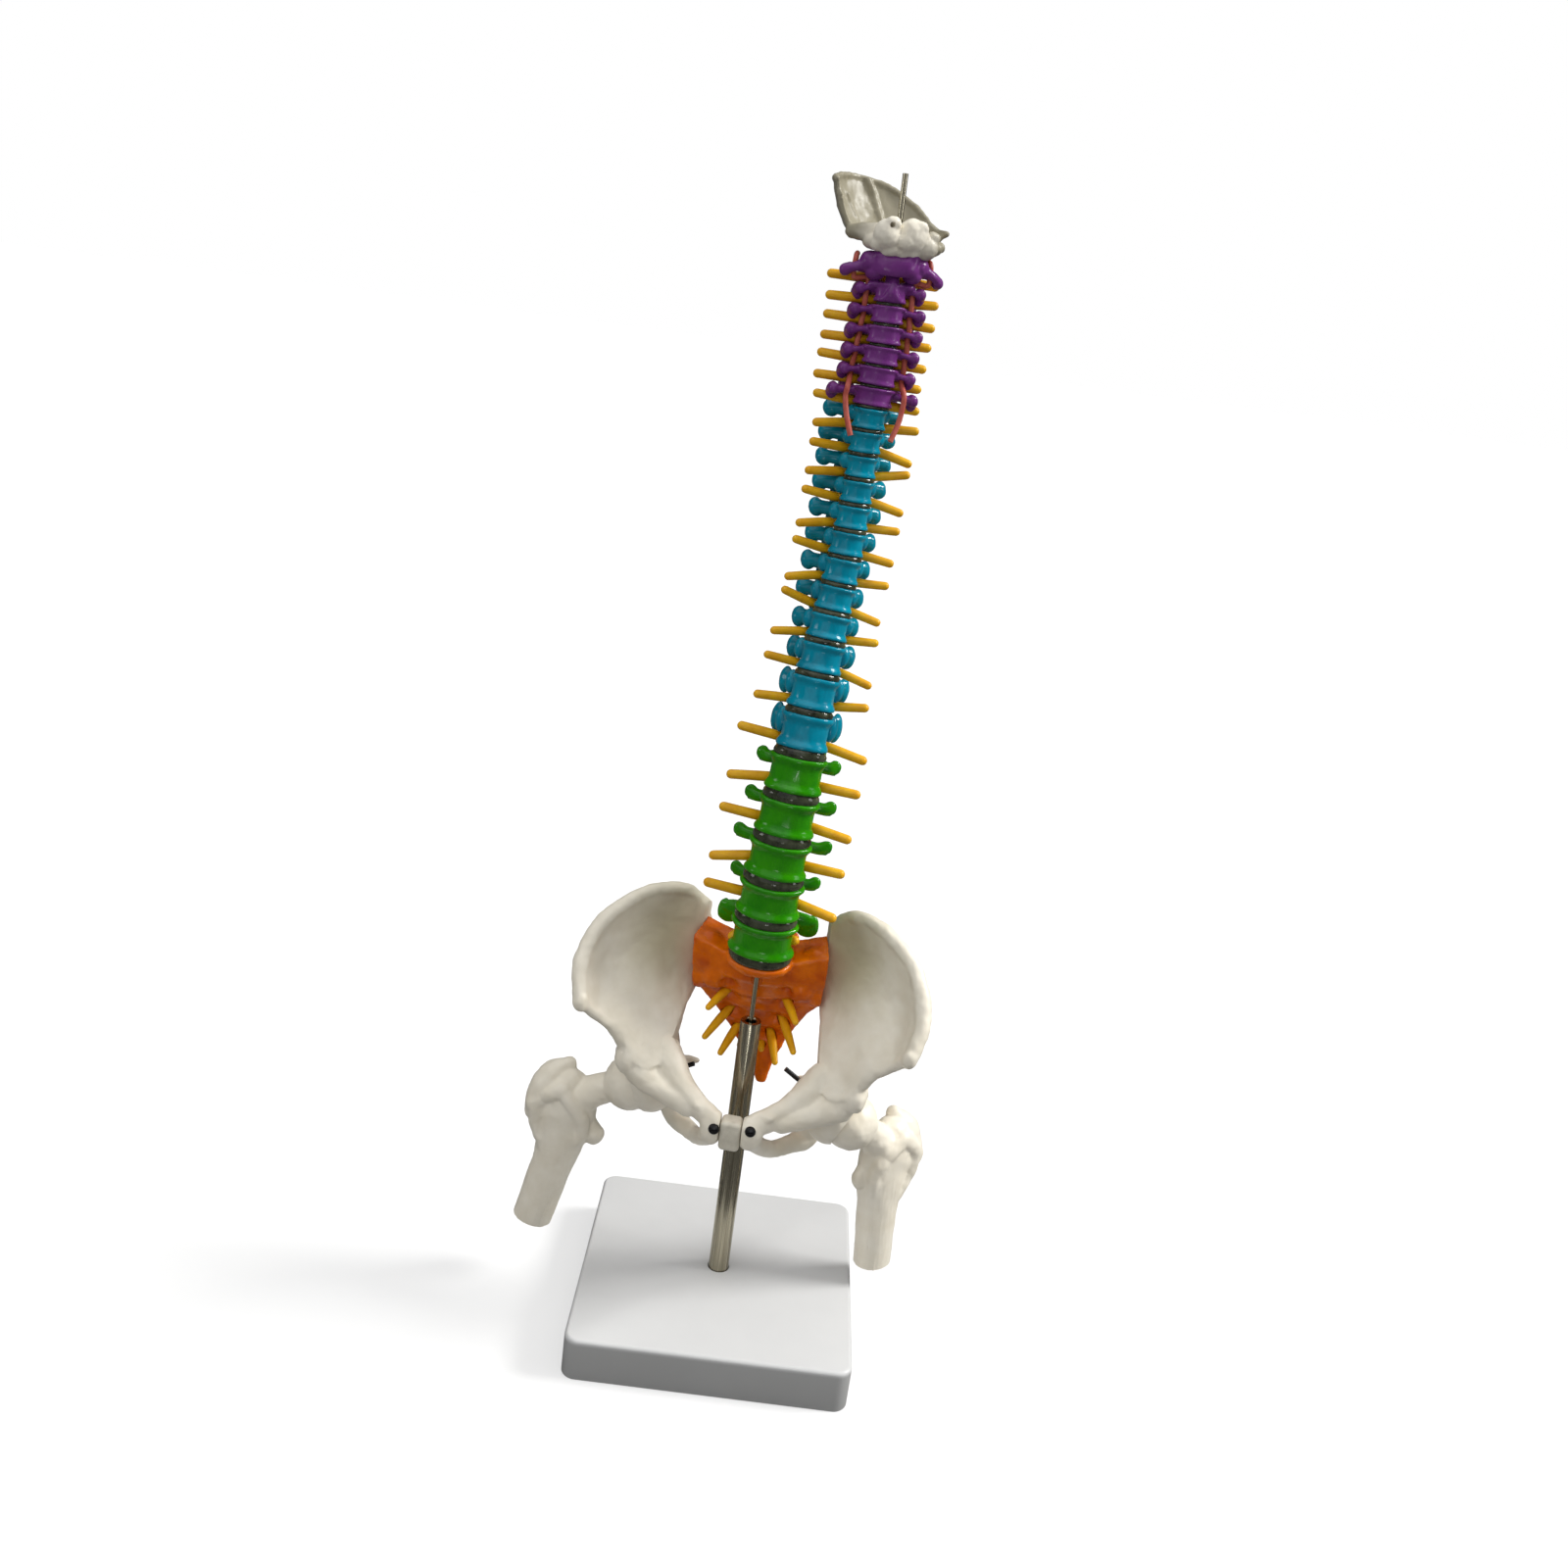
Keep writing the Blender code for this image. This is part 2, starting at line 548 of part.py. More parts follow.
def wire_points(frames, top):
    """Middle of the wire from the pole to the free end above the occiput."""
    points = [COLUMN_START - Vector((0, 0, 1.5))]
    for low, high in zip(frames, frames[1:]):
        points.append((low.translation + high.translation) / 2)
    rise = (top - frames[-1].translation).normalized()
    points.append(top)
    points.append(top + rise * WIRE_ABOVE_OCCIPUT)
    return points


def build_core_rod(frames, top):
    """Ferrule and wire in one piece."""
    bm = bmesh.new()
    points = wire_points(frames, top)
    keys = [(0, 0, FERRULE_BOTTOM, FERRULE_RADIUS, FERRULE_RADIUS),
            (*points[0], FERRULE_RADIUS, FERRULE_RADIUS)]
    keys += [(*(points[0] + Vector((0, 0, 0.6))), WIRE_RADIUS, WIRE_RADIUS)]
    keys += [(*point, WIRE_RADIUS, WIRE_RADIUS) for point in points[1:]]
    tube(bm, keys, steps=1, sides=6, domes=())
    return finish(new_object("rod", bm), "core_rod", "steel")


def pelvis_turn():
    """Turn of the pelvis about the pole."""
    return Matrix.Rotation(math.radians(PELVIS_YAW), 4, "Z")


def sacrum_top_frame():
    """Frame on the upper face of the sacrum."""
    turn = rotation(S1_TILT, 0.0, PELVIS_YAW)
    centre = COLUMN_START - turn.to_3x3() @ Vector((0, 0, keyed(DISC_SPACE, 0) / 2))
    return Matrix.Translation(centre) @ turn


def canal_points(frames, top):
    """Middle of the cord from the sacrum to the skull, with its radius."""
    rows = [(0.0, 25.0, 123.0, 1.7), (0.0, 25.0, 140.0, 2.0), (0.0, 21.0, 152.0, 2.2),
            (0.0, 15.5, 163.0, 2.4)]
    turn = pelvis_turn()
    points = [(turn @ Vector(row[:3]), row[3]) for row in rows]
    for level, frame in enumerate(frames):
        points.append((frame @ Vector((0, level_sizes(level)["canal_y"], 0)),
                       keyed(CORD_RADIUS, level)))
    lift = frames[-1].to_3x3() @ Vector((0, level_sizes(C1)["canal_y"], 9.0))
    points.append((frames[-1].translation + lift, keyed(CORD_RADIUS, C1)))
    return points


def nerve_pair(frame, level):
    """Rows of one pair of nerve stubs, from tip to tip through the cord."""
    s = level_sizes(level)
    radius = keyed(NERVE_RADIUS, level)
    z = -keyed(((0, 0.30), (5, 0.30), (8, 0.33), (17, 0.37), (23, 0.37)), level) * s["pitch"]
    reach = keyed(NERVE_REACH, level)
    front = s["back"] - (1.0 if level < C7 else -1.8)
    if level == C1:
        z, front = -0.42 * s["pitch"], s["canal_y"] + 0.5
    bend_y = s["canal_y"] + (0.5 if level == C1 else -1.9)
    rows = []
    for side in (-1, 1):
        drop = NERVE_DROP[(level * 3 + (side > 0)) % len(NERVE_DROP)] * keyed(NERVE_DROP_SCALE, level)
        bend = (side * (s["canal_width"] / 2 + 2.5), bend_y, z, radius, radius)
        tip = (side * reach + keyed(NERVE_SHIFT, level), front, z + drop, radius * 0.9, radius * 0.9)
        rows.append([tip, bend])
    rows = rows[0] + [(0, s["canal_y"], z, radius, radius)] + rows[1][::-1]
    return [(*(frame @ Vector(row[:3])), row[3], row[4]) for row in rows]


def sacral_nerve(root, tip, side):
    """Rows of one nerve that leaves the cord in the sacrum and hangs outward in front."""
    turn = pelvis_turn()
    rows = [(0.0, *root), (side * tip[0], *tip[1:])]
    return [(*(turn @ Vector(row)), SACRAL_NERVE_RADIUS, SACRAL_NERVE_RADIUS) for row in rows]


def build_cord(frames, top, grow=0.0):
    """Spinal cord with all its nerve stubs in one piece; grow makes the clearance tool."""
    bm = bmesh.new()
    keys = [(*point, radius + grow, radius + grow) for point, radius in canal_points(frames, top)]
    keys[0] = (*keys[0][:2], keys[0][2] - 2 * grow, *keys[0][3:])
    tube(bm, keys, steps=1, sides=6, domes=())
    cord = new_object("cord", bm)
    groups = [[nerve_pair(frame, level) for level, frame in enumerate(frames)]]
    for side in (-1, 1):
        groups.append([sacral_nerve(*ends, side) for ends in zip(SACRAL_ROOTS, SACRAL_TIPS)])
    for group in groups:
        nerves = bmesh.new()
        for rows in group:
            rows = [(*row[:3], row[3] + grow, row[4] + grow) for row in rows]
            tube(nerves, rows, side=(0, 0, 1), steps=1, sides=NERVE_SIDES, domes=())
        combine(cord, new_object("nerves", nerves), "UNION")
    return cord


def artery_keys(frames, side):
    """Rows of one artery, from its lower end up through the holes to the skull."""
    rows = [(T1, (7.4, -6.6, -6.5)), (T1, (9.6, -5.0, 0.0)),
            (C7, (10.6, -3.4, -1.6)), (C7, (10.4, -3.0, 2.0))]
    for level in range(C7 + 1, C1 + 1):
        hole = ATLAS_HOLE if level == C1 else artery_hole(level_sizes(level))
        low, high = {C2: (-2.0, 3.1), C1: (-3.3, 3.2)}.get(level, (-2.0, 2.0))
        rows += [(level, (hole.x, hole.y, hole.z + rise)) for rise in (low, high)]
    rows.append((C1, (ATLAS_HOLE.x - 0.8, ATLAS_HOLE.y + 3.0, ATLAS_HOLE.z + 4.6)))
    return [(*(frames[level] @ Vector((side * x, y, z))), ARTERY_RADIUS, ARTERY_RADIUS)
            for level, (x, y, z) in rows]


def build_artery(frames, side):
    """Artery beside the neck."""
    bm = bmesh.new()
    tube(bm, artery_keys(frames, side), steps=1, sides=6, domes=())
    name = "vertebral_artery_left" if side > 0 else "vertebral_artery_right"
    return finish(new_object("artery", bm), name, "artery")


def joint_plane_box(side, inner):
    """Box on the inner or the outer side of the sacroiliac joint."""
    turn = Matrix.Translation((side * SACROILIAC_X, 0, 0))
    turn @= Matrix.Rotation(math.radians(side * SACROILIAC_SLOPE), 4, "Z")
    far = 90.0
    if inner:
        low, high = (-SACROILIAC_X, -8.0, 124.0), (SACROILIAC_GAP, far, 220.0)
    else:
        low, high = (-SACROILIAC_GAP, -far, 40.0), (far, far, 220.0)
    if side < 0:
        low, high = (-high[0], low[1], low[2]), (-low[0], high[1], high[2])
    return box(low, high, turn)


def sacrum_shape(bm):
    """Wedge of fused vertebrae with two wings, a crest behind and a curled tail."""
    top = sacrum_top_frame()
    back = pelvis_turn().inverted() @ top
    s = level_sizes(0)
    rings = [[back @ p for p in body_ring(s["width"] * k, s["depth"] * k, z)]
             for z, k in ((0.0, 0.955), (-1.2, 1.0), (-4.0, 0.94))]
    loft(bm, rings)
    rows = ((0.0, 29.5, 7.0, 163.0, 11.5, 171.0, 15.0, 17.0),
            (0.1, 30.5, 10.5, 153.0, 13.5, 158.5, 16.0, 18.0),
            (0.4, 28.5, 16.0, 144.0, 16.5, 148.0, 13.0, 13.0),
            (1.0, 16.5, 19.0, 136.0, 19.0, 138.5, 11.0, 8.0),
            (2.0, 12.0, 20.8, 127.0, 20.8, 128.5, 8.6, 6.4), (3.0, 8.6, 20.5, 118.5, 20.5, 119.0, 6.6, 5.0),
            (4.6, 4.6, 18.8, 110.0, 18.8, 110.0, 4.6, 3.6), (6.2, 2.0, 16.5, 101.0, 16.5, 101.0, 3.2, 2.6))
    sheet(bm, [[(x + reach * k, y + (y_side - y) * abs(k), z + (z_side - z) * abs(k),
                 thick + (thin - thick) * abs(k)) for k in (-1.0, -0.5, 0.0, 0.5, 1.0)]
               for x, reach, y, z, y_side, z_side, thick, thin in rows])
    for side in (-1, 1):
        tube(bm, [(side * 10.5, 18, 160, 2.6, 2.6), (side * 11.5, 21.0, 167.5, 2.2, 2.0)])
    tube(bm, [(0, 24.5, 164, 2.6, 2.6), (0, 29.5, 153, 3.0, 2.6), (0.6, 30.5, 140, 2.6, 2.6),
              (1.8, 27.0, 126, 2.0, 2.0)])


def build_sacrum(cord_tool):
    """Sacrum and coccyx in one, cut for the cord, the nerves and the ferrule."""
    bm = bmesh.new()
    sacrum_shape(bm)
    obj = new_object("sacrum", bm)
    melt(obj, LARGE_BONE_VOXEL * 0.8, 3, TRIANGLES["sacrum"])
    for side in (-1, 1):
        combine(obj, joint_plane_box(side, inner=False))
    turn = pelvis_turn().inverted()
    s = level_sizes(0)
    bm = bmesh.new()
    loft(bm, [[turn @ sacrum_top_frame() @ point
               for point in body_ring(s["width"] * 1.1, s["depth"] * 1.1, z)] for z in (0.0, 14.0)])
    combine(obj, new_object("cutter", bm))
    combine(obj, rod((0, 0, 121), (0, 0, 181), FERRULE_RADIUS + WIRE_CLEARANCE, sides=10))
    cord_tool.matrix_world = turn
    combine(obj, cord_tool)
    return finish(obj, "sacrum", "sacrum", pelvis_turn())


def hip_shape(bm, side):
    """Hip bone: curved wing, socket mass, two rami round the lower opening."""
    crest = [(65, -27, 147, 5.0), (67.5, -20, 160, 5.5), (63.5, -11, 173, 5.5), (55, -3, 181.5, 5.0),
             (44, 5, 186, 4.6), (34, 13, 184, 5.0), (26.5, 22, 174, 8.0), (25, 30, 162, 8.0)]
    fossa = [(60, -22, 141, 3.6), (60, -15, 150, 3.0), (56, -7, 158, 2.6), (49, 0, 164, 2.4),
             (41, 7, 167, 2.4), (34, 13, 167, 4.6), (28.5, 19, 162, 9.0), (25.5, 26, 152, 9.0)]
    waist = [(52, -19, 134, 4.6), (50, -15.5, 137, 4.8), (47, -11, 139, 4.8), (43, -6, 141, 5.0),
             (39, 0, 143, 5.5), (35, 6, 144.5, 6.5), (31, 13, 144.5, 8.5), (28.5, 20, 143, 9.0)]
    brim = [(46.5, -17, 122, 7.5), (43, -16.5, 118.5, 8.0), (39, -15, 116.5, 8.5), (35, -12.5, 117, 8.5),
            (32.5, -8.5, 120, 8.5), (32, -3.5, 126, 8.0), (32, 2, 132, 7.5), (32, 8, 137, 7.0)]
    sheet(bm, [[(side * p[0], *p[1:]) for p in row] for row in (crest, fossa, waist, brim)])
    ball(bm, (side * 46.5, -16.5, 120.0), (4.4, 4.4, 6.0))
    ball(bm, (side * 37.5, 0.0, 105.5), (12.0, 14.0, 16.5))
    ball(bm, (side * 41.0, -4.0, 122.0), (9.5, 10.5, 14.0))
    tube(bm, [(side * 34, -6, 122, 6.5, 7.5), (side * 28.5, -10.5, 114.5, 6.4, 8.0),
              (side * 22, -15.5, 109.5, 4.6, 6.6), (side * 14, -21.0, 106.0, 3.6, 5.2),
              (side * 7, -25, 103, 4.2, 5.0)],
         side=(side * 0.6, -0.75, 0.0))
    tube(bm, [(side * 36, 9, 118, 6.5, 6.5), (side * 34.5, 11, 102, 6.8, 6.6),
              (side * 31, 12.5, 89, 5.6, 5.8), (side * 28, 11, 81.5, 4.6, 5.0),
              (side * 22, 4, 81.0, 3.4, 3.6), (side * 15.5, -5, 83.0, 2.8, 3.4),
              (side * 10, -15, 90.5, 2.8, 3.6), (side * 7, -23, 98, 3.6, 3.8)],
         side=(side * 0.8, -0.6, 0.0))
    tube(bm, [(side * 33, 12, 105, 3.5, 4.5), (side * 27, 17, 104.5, 2.2, 2.8),
              (side * 22, 19.5, 104, 1.2, 1.4)], side=(0.0, 0.0, 1.0))
    ball(bm, (side * 7.8, -25, 101.0), (5.0, 4.6, 7.8))


def build_hip(side):
    """One hip bone, cut for the sacroiliac joint, the symphysis and the socket."""
    bm = bmesh.new()
    hip_shape(bm, side)
    obj = new_object("hip", bm)
    melt(obj, LARGE_BONE_VOXEL, 4, TRIANGLES["hip"])
    combine(obj, joint_plane_box(side, inner=True))
    inner = sorted((0.0, side * (SYMPHYSIS_HALF_WIDTH + FIT_GAP)))
    combine(obj, box((inner[0], -60, 60), (inner[1], 20, 130)))
    head = bmesh.new()
    bmesh.ops.create_uvsphere(head, u_segments=18, v_segments=12, radius=HEAD_RADIUS + SOCKET_GAP,
                              matrix=Matrix.Translation((side * HEAD_CENTRE.x, *HEAD_CENTRE.yz)))
    combine(obj, new_object("socket", head))
    name = "hip_bone_left" if side > 0 else "hip_bone_right"
    return finish(obj, name, "bone", pelvis_turn())


def femur_shape(bm, side):
    """Upper half of a thigh bone; the origin is the middle of the head."""
    ball(bm, (0, 0, 0), (HEAD_RADIUS, HEAD_RADIUS, HEAD_RADIUS))
    tube(bm, [(side * 2, 0, -2.0, 7.0, 7.0), (side * 10, 0.5, -8.0, 6.2, 6.2),
              (side * 19, 1, -17.0, 8.5, 8.5)], side=(0, 1, 0))
    tube(bm, [(side * 19, 0, -FEMUR_END[side] - 8, 8.4, 7.4), (side * 19, 0, -60, 8.7, 7.6),
              (side * 19.2, 0, -44, 9.6, 8.0), (side * 20.5, 0.5, -30, 12.4, 8.6),
              (side * 23.0, 1, -20, 13.0, 8.8), (side * 25, 1.5, -13, 9.0, 7.0)])
    tube(bm, [(side * 33.5, 2, -29, 5.6, 7.4), (side * 34.0, 2, -21, 7.2, 8.6),
              (side * 31.0, 3, -12.5, 6.8, 7.6), (side * 27.4, 4.5, -6.2, 3.4, 3.8)])
    tube(bm, [(side * 11, 1.0, -29.5, 5.0, 6.6), (side * 6.4, 0.5, -30.5, 4.2, 5.0)], side=(0, 1, 0))
    tube(bm, [(side * 25.4, -5.4, -13.0, 2.8, 2.6), (side * 33.0, -4.4, -22.0, 2.6, 2.6),
              (side * 31.0, -3.4, -33.0, 2.2, 2.2)], side=(0.6, 0.0, 0.8))
    tube(bm, [(side * 25.4, -5.4, -13.0, 2.8, 2.6), (side * 16.0, -6.2, -18.0, 2.6, 2.6),
              (side * 11.0, -5.0, -28.0, 2.2, 2.2)], side=(0.6, 0.0, 0.8))


def build_femur(side):
    """One thigh-bone stub, sawn flat at its lower end."""
    bm = bmesh.new()
    femur_shape(bm, side)
    obj = new_object("femur", bm)
    melt(obj, LARGE_BONE_VOXEL * 0.8, 4, TRIANGLES["femur"])
    combine(obj, box((-80, -40, -FEMUR_END[side] - 40), (80, 40, -FEMUR_END[side])))
    place = pelvis_turn() @ Matrix.Translation((side * HEAD_CENTRE.x, *HEAD_CENTRE.yz))
    place @= Matrix.Rotation(math.radians(-side * FEMUR_SPLAY[side]), 4, "Y")
    place @= Matrix.Rotation(math.radians(side * FEMUR_TWIST[side]), 4, "Z")
    name = "femur_left" if side > 0 else "femur_right"
    return finish(obj, name, "bone", place)


def occiput_shape(bm):
    """Back of the skull: condyles, block in front of the great hole, bowl behind."""
    ball(bm, (-7.5, -4.0, 5.0), (5.0, 5.4, 5.0))
    ball(bm, (3.0, -4.0, 5.6), (8.5, 5.2, 4.8))
    for side in (-1, 1):
        ball(bm, (side * 8.4, 1.6, 3.4), (3.6, 6.4, 3.0))
        tube(bm, [(side * 5.0, -2.5, 6.0, 3.2, 3.6), (side * 11.0, 3.0, 6.0, 3.0, 3.8),
                  (side * 15.0, 8.0, 6.0, 3.0, 3.4)], side=(0.0, 1.0, 0.0))
    rows = []
    for down in (0.0, 0.3, 0.58, 0.82, 1.0):
        row = []
        for k in range(9):
            around = math.radians(-100 + 25 * k)
            fall = math.cos(math.radians(84 * down))
            rim = keyed(OCCIPUT_RIM, 21.0 * math.sin(around))
            row.append((21.0 * math.sin(around) * fall ** 0.34, 8.0 + 22.0 * math.cos(around) * fall ** 0.5,
                        rim - (rim - 3.6) * (1.0 - fall ** 1.4) ** 0.9, 2.4 + 0.8 * down))
        rows.append(row)
    sheet(bm, rows)


def build_occiput(frames, top):
    """Skull plate with the hole for the wire and the great hole for the cord."""
    bm = bmesh.new()
    occiput_shape(bm)
    obj = new_object("occiput", bm)
    melt(obj, LARGE_BONE_VOXEL * 0.7, 3, TRIANGLES["occiput"])
    bm = bmesh.new()
    tube(bm, [(0, 9.5, -12, 6.2, 6.6), (0, 9.5, 12.5, 6.2, 6.6)], steps=1, sides=12, domes=())
    combine(obj, new_object("cutter", bm))
    turn = frames[-1].to_3x3().to_4x4() @ Matrix.Rotation(math.radians(OCCIPUT_YAW), 4, "Z")
    combine(obj, rod((0, 0, -20), (0, 0, 40), WIRE_RADIUS + WIRE_CLEARANCE, 8))
    return finish(obj, "occiput", "bone", Matrix.Translation(top) @ turn)


def build_base():
    """Square foot with rounded corners and a socket for the pole."""
    bm = bmesh.new()
    half = BASE_SIDE / 2
    bmesh.ops.create_cube(bm, size=1.0, matrix=Matrix.Translation((0, 0, BASE_HEIGHT / 2))
                          @ Matrix.Diagonal((BASE_SIDE, BASE_SIDE, BASE_HEIGHT, 1.0)))
    upright = [e for e in bm.edges if abs(e.verts[0].co.z - e.verts[1].co.z) > BASE_HEIGHT / 2]
    bmesh.ops.bevel(bm, geom=upright, offset=BASE_CORNER_RADIUS, segments=4, affect="EDGES",
                    profile=0.5)
    top = [e for e in bm.edges if all(v.co.z > BASE_HEIGHT - 0.01 for v in e.verts)
           and len(e.link_faces) == 2 and any(abs(f.normal.z) < 0.1 for f in e.link_faces)]
    bmesh.ops.bevel(bm, geom=top, offset=BASE_EDGE_RADIUS, segments=2, affect="EDGES", profile=0.5)
    assert max(v.co.x for v in bm.verts) <= half + 0.001
    obj = new_object("base", bm)
    floor = BASE_HEIGHT - POLE_SOCKET_DEPTH
    combine(obj, rod((0, 0, floor), (0, 0, 40), POLE_RADIUS + FIT_GAP, sides=20))
    return finish(obj, "stand_base", "base")


def build_pole():
    """Steel tube from the base to the open mouth that holds the ferrule."""
    foot = BASE_HEIGHT - POLE_SOCKET_DEPTH + FIT_GAP
    bm = bmesh.new()
    keys = [(0, 0, foot, POLE_RADIUS, POLE_RADIUS), (0, 0, POLE_TOP, POLE_RADIUS, POLE_RADIUS)]
    tube(bm, keys, steps=1, sides=20, domes=())
    obj = new_object("pole", bm)
    combine(obj, rod((0, 0, foot - 5), (0, 0, POLE_TOP + 5), POLE_BORE_RADIUS, sides=12))
    return finish(obj, "stand_pole", "steel")


def build_symphysis():
    """Soft block between the pubic bones."""
    bm = bmesh.new()
    bmesh.ops.create_cube(bm, size=1.0, matrix=Matrix.Translation(SYMPHYSIS_CENTRE)
                          @ Matrix.Diagonal((*SYMPHYSIS_SIZE, 1.0)))
    upright = [e for e in bm.edges if abs(e.verts[0].co.x - e.verts[1].co.x) > 1.0]
    bmesh.ops.bevel(bm, geom=upright, offset=2.2, segments=2, affect="EDGES", profile=0.5)
    return finish(new_object("symphysis", bm), "pubic_symphysis", "cushion", pelvis_turn())


def main():
    """Build every piece in place of whatever the scene holds."""
    for obj in list(bpy.data.objects):
        bpy.data.objects.remove(obj, do_unlink=True)
    frames, top = column_frames()
    build_base()
    build_pole()
    build_core_rod(frames, top)
    build_sacrum(build_cord(frames, top, grow=CORD_CLEARANCE))
    build_symphysis()
    for side in (-1, 1):
        build_hip(side)
        build_femur(side)
    for level, frame in enumerate(frames):
        build_vertebra(level, frame)
    for level in range(-1, C2):
        build_disc(level, frames)
    finish(build_cord(frames, top), "spinal_cord_and_nerves", "nerve")
    for side in (-1, 1):
        build_artery(frames, side)
    build_occiput(frames, top)


if __name__ == "__main__":
    main()
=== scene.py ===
import json
import math
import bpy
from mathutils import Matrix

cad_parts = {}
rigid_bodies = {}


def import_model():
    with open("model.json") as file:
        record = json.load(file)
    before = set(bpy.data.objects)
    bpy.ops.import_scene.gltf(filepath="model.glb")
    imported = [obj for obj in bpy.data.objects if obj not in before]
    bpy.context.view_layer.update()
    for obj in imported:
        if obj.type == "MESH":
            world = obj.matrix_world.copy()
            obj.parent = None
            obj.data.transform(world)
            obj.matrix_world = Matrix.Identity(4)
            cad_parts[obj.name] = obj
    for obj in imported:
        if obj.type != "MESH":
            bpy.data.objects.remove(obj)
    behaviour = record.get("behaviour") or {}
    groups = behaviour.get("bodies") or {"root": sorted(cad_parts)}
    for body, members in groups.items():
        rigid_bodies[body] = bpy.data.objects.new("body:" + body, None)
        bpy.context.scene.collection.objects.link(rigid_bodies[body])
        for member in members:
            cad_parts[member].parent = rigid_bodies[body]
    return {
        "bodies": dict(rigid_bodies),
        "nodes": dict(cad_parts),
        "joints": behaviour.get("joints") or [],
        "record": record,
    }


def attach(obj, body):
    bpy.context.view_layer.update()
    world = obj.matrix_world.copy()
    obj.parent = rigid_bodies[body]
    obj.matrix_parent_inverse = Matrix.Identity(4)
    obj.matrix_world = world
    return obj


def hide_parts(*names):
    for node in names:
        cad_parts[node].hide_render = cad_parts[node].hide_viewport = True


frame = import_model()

from types import SimpleNamespace

import bmesh
import bpy
import numpy as np
from mathutils import Matrix, Vector
from mathutils import noise as fractal

# Half life-size flexible spine model with pelvis and thigh-bone stubs on a stand.
# Shapes are made in millimetres, +Z up and -Y to the front of the body, and scaled
# to metres as they are finished. They follow the shape rules of the solids, drawn finer.

bl_info = {
    "name": "Spine Model Looks",
    "version": (1, 0, 0),
    "blender": (4, 5, 0),
    "location": "3D Viewport > Sidebar > Spine",
    "description": "Fine surfaces, materials and photo stage for the spine anatomy model",
    "category": "Object",
}

MM = 0.001

# Lengths are in millimetres, angles in degrees

# Stand
BASE_SIDE = 115.0
BASE_HEIGHT = 18.7
BASE_CORNER_RADIUS = 6.0
BASE_EDGE_RADIUS = 1.6
POLE_RADIUS = 4.3
POLE_BORE_RADIUS = 2.3
POLE_TOP = 137.3
POLE_SOCKET_DEPTH = 12.0

# Clearances
FIT_GAP = 0.35
WIRE_CLEARANCE = 0.68
SOCKET_GAP = 0.9
CORD_CLEARANCE = 0.5
ARTERY_CLEARANCE = 0.9
WELD = 0.0001

# Core rod: a thick lower end and a wire through every vertebral body
FERRULE_RADIUS = 1.8
FERRULE_BOTTOM = 112.0
WIRE_RADIUS = 1.0
WIRE_ABOVE_OCCIPUT = 26.0

# Column, counted from L5 (0) up to C1 (23)
LEVELS = (["L%d" % n for n in range(5, 0, -1)]
          + ["T%d" % n for n in range(12, 0, -1)]
          + ["C%d" % n for n in range(7, 0, -1)])
T12, T1, C7, C2, C1 = 5, 16, 17, 22, 23
COLUMN_START = Vector((0.0, 0.0, 167.0))
PITCH = ((0, 17.8), (4, 17.0), (5, 15.8), (8, 11.0), (12, 9.6), (16, 8.3), (17, 7.3), (21, 6.9),
         (22, 7.4), (23, 9.4))
DISC_SPACE = ((0, 3.7), (4, 3.4), (6, 2.4), (9, 1.9), (15, 1.5), (17, 1.1), (23, 1.1))
TILT = ((0, 8), (1, 6), (3, -2), (5, -9), (8, -10), (12, -4), (16, 0), (19, 2), (23, 0))
LEAN = ((0, 1.5), (2, 4), (6, 5), (9, 6), (12, 2.5), (15, 1.5), (18, 3), (21, 0), (23, -1))
YAW = ((0, -5), (5, -2), (7, 0), (9, 8), (12, 12), (15, 14), (17, 8), (20, 6), (22, 8), (23, 9))
BODY_WIDTH = ((0, 27.0), (4, 22.6), (5, 20.2), (9, 14.6), (14, 11.8), (16, 12.8), (17, 14.6),
              (21, 11.8), (23, 11.8))
BODY_ASPECT = ((0, 0.68), (4, 0.70), (5, 0.74), (8, 0.86), (15, 0.86), (17, 0.68), (23, 0.68))
CANAL_WIDTH = ((0, 12.0), (4, 11.0), (6, 9.0), (15, 9.0), (17, 11.4), (23, 12.0))
CANAL_DEPTH = ((0, 8.2), (5, 8.0), (8, 7.6), (15, 7.6), (17, 7.4), (23, 8.0))
PROCESS_SPAN = ((0, 41.0), (1, 37.0), (2, 40.0), (4, 33.6), (5, 28.5), (8, 27.0), (12, 29.0),
                (16, 31.0), (17, 33.0), (18, 28.0), (22, 27.0), (23, 37.0))
CORD_RADIUS = ((0, 2.4), (5, 2.2), (15, 2.2), (18, 2.6), (23, 2.6))
NERVE_RADIUS = ((0, 2.2), (5, 2.0), (7, 1.75), (16, 1.75), (23, 1.75))
NERVE_REACH = ((0, 12.5), (1, 25.5), (5, 24.0), (6, 20.5), (9, 18.5), (17, 18.5), (22, 19.0))
NERVE_SHIFT = ((16, 0.0), (18, -2.2), (23, -1.6))
NERVE_DROP_SCALE = ((15, 1.0), (17, 0.15), (23, 0.15))
NERVE_DROP = (-2.2, 1.5, -1.0, 2.4, -1.8, 0.6, -2.6, 1.2)
SACRAL_ROOTS = ((20.5, 153.0), (24.0, 144.5), (25.0, 135.5), (25.0, 127.0))
SACRAL_TIPS = ((18.0, 0.5, 139.5), (18.5, 4.5, 124.0), (11.5, 7.0, 116.5), (4.6, 14.5, 117.5))
SACRAL_NERVE_TAPER = ((0.0, 0.0, 1.2), (0.46, 5.4, 1.5), (0.75, 3.9, 1.9), (1.0, 0.0, 1.3))
ARTERY_RADIUS = 1.2
ATLAS_HOLE = Vector((13.4, 1.9, -1.0))
DISC_INSET = 0.955

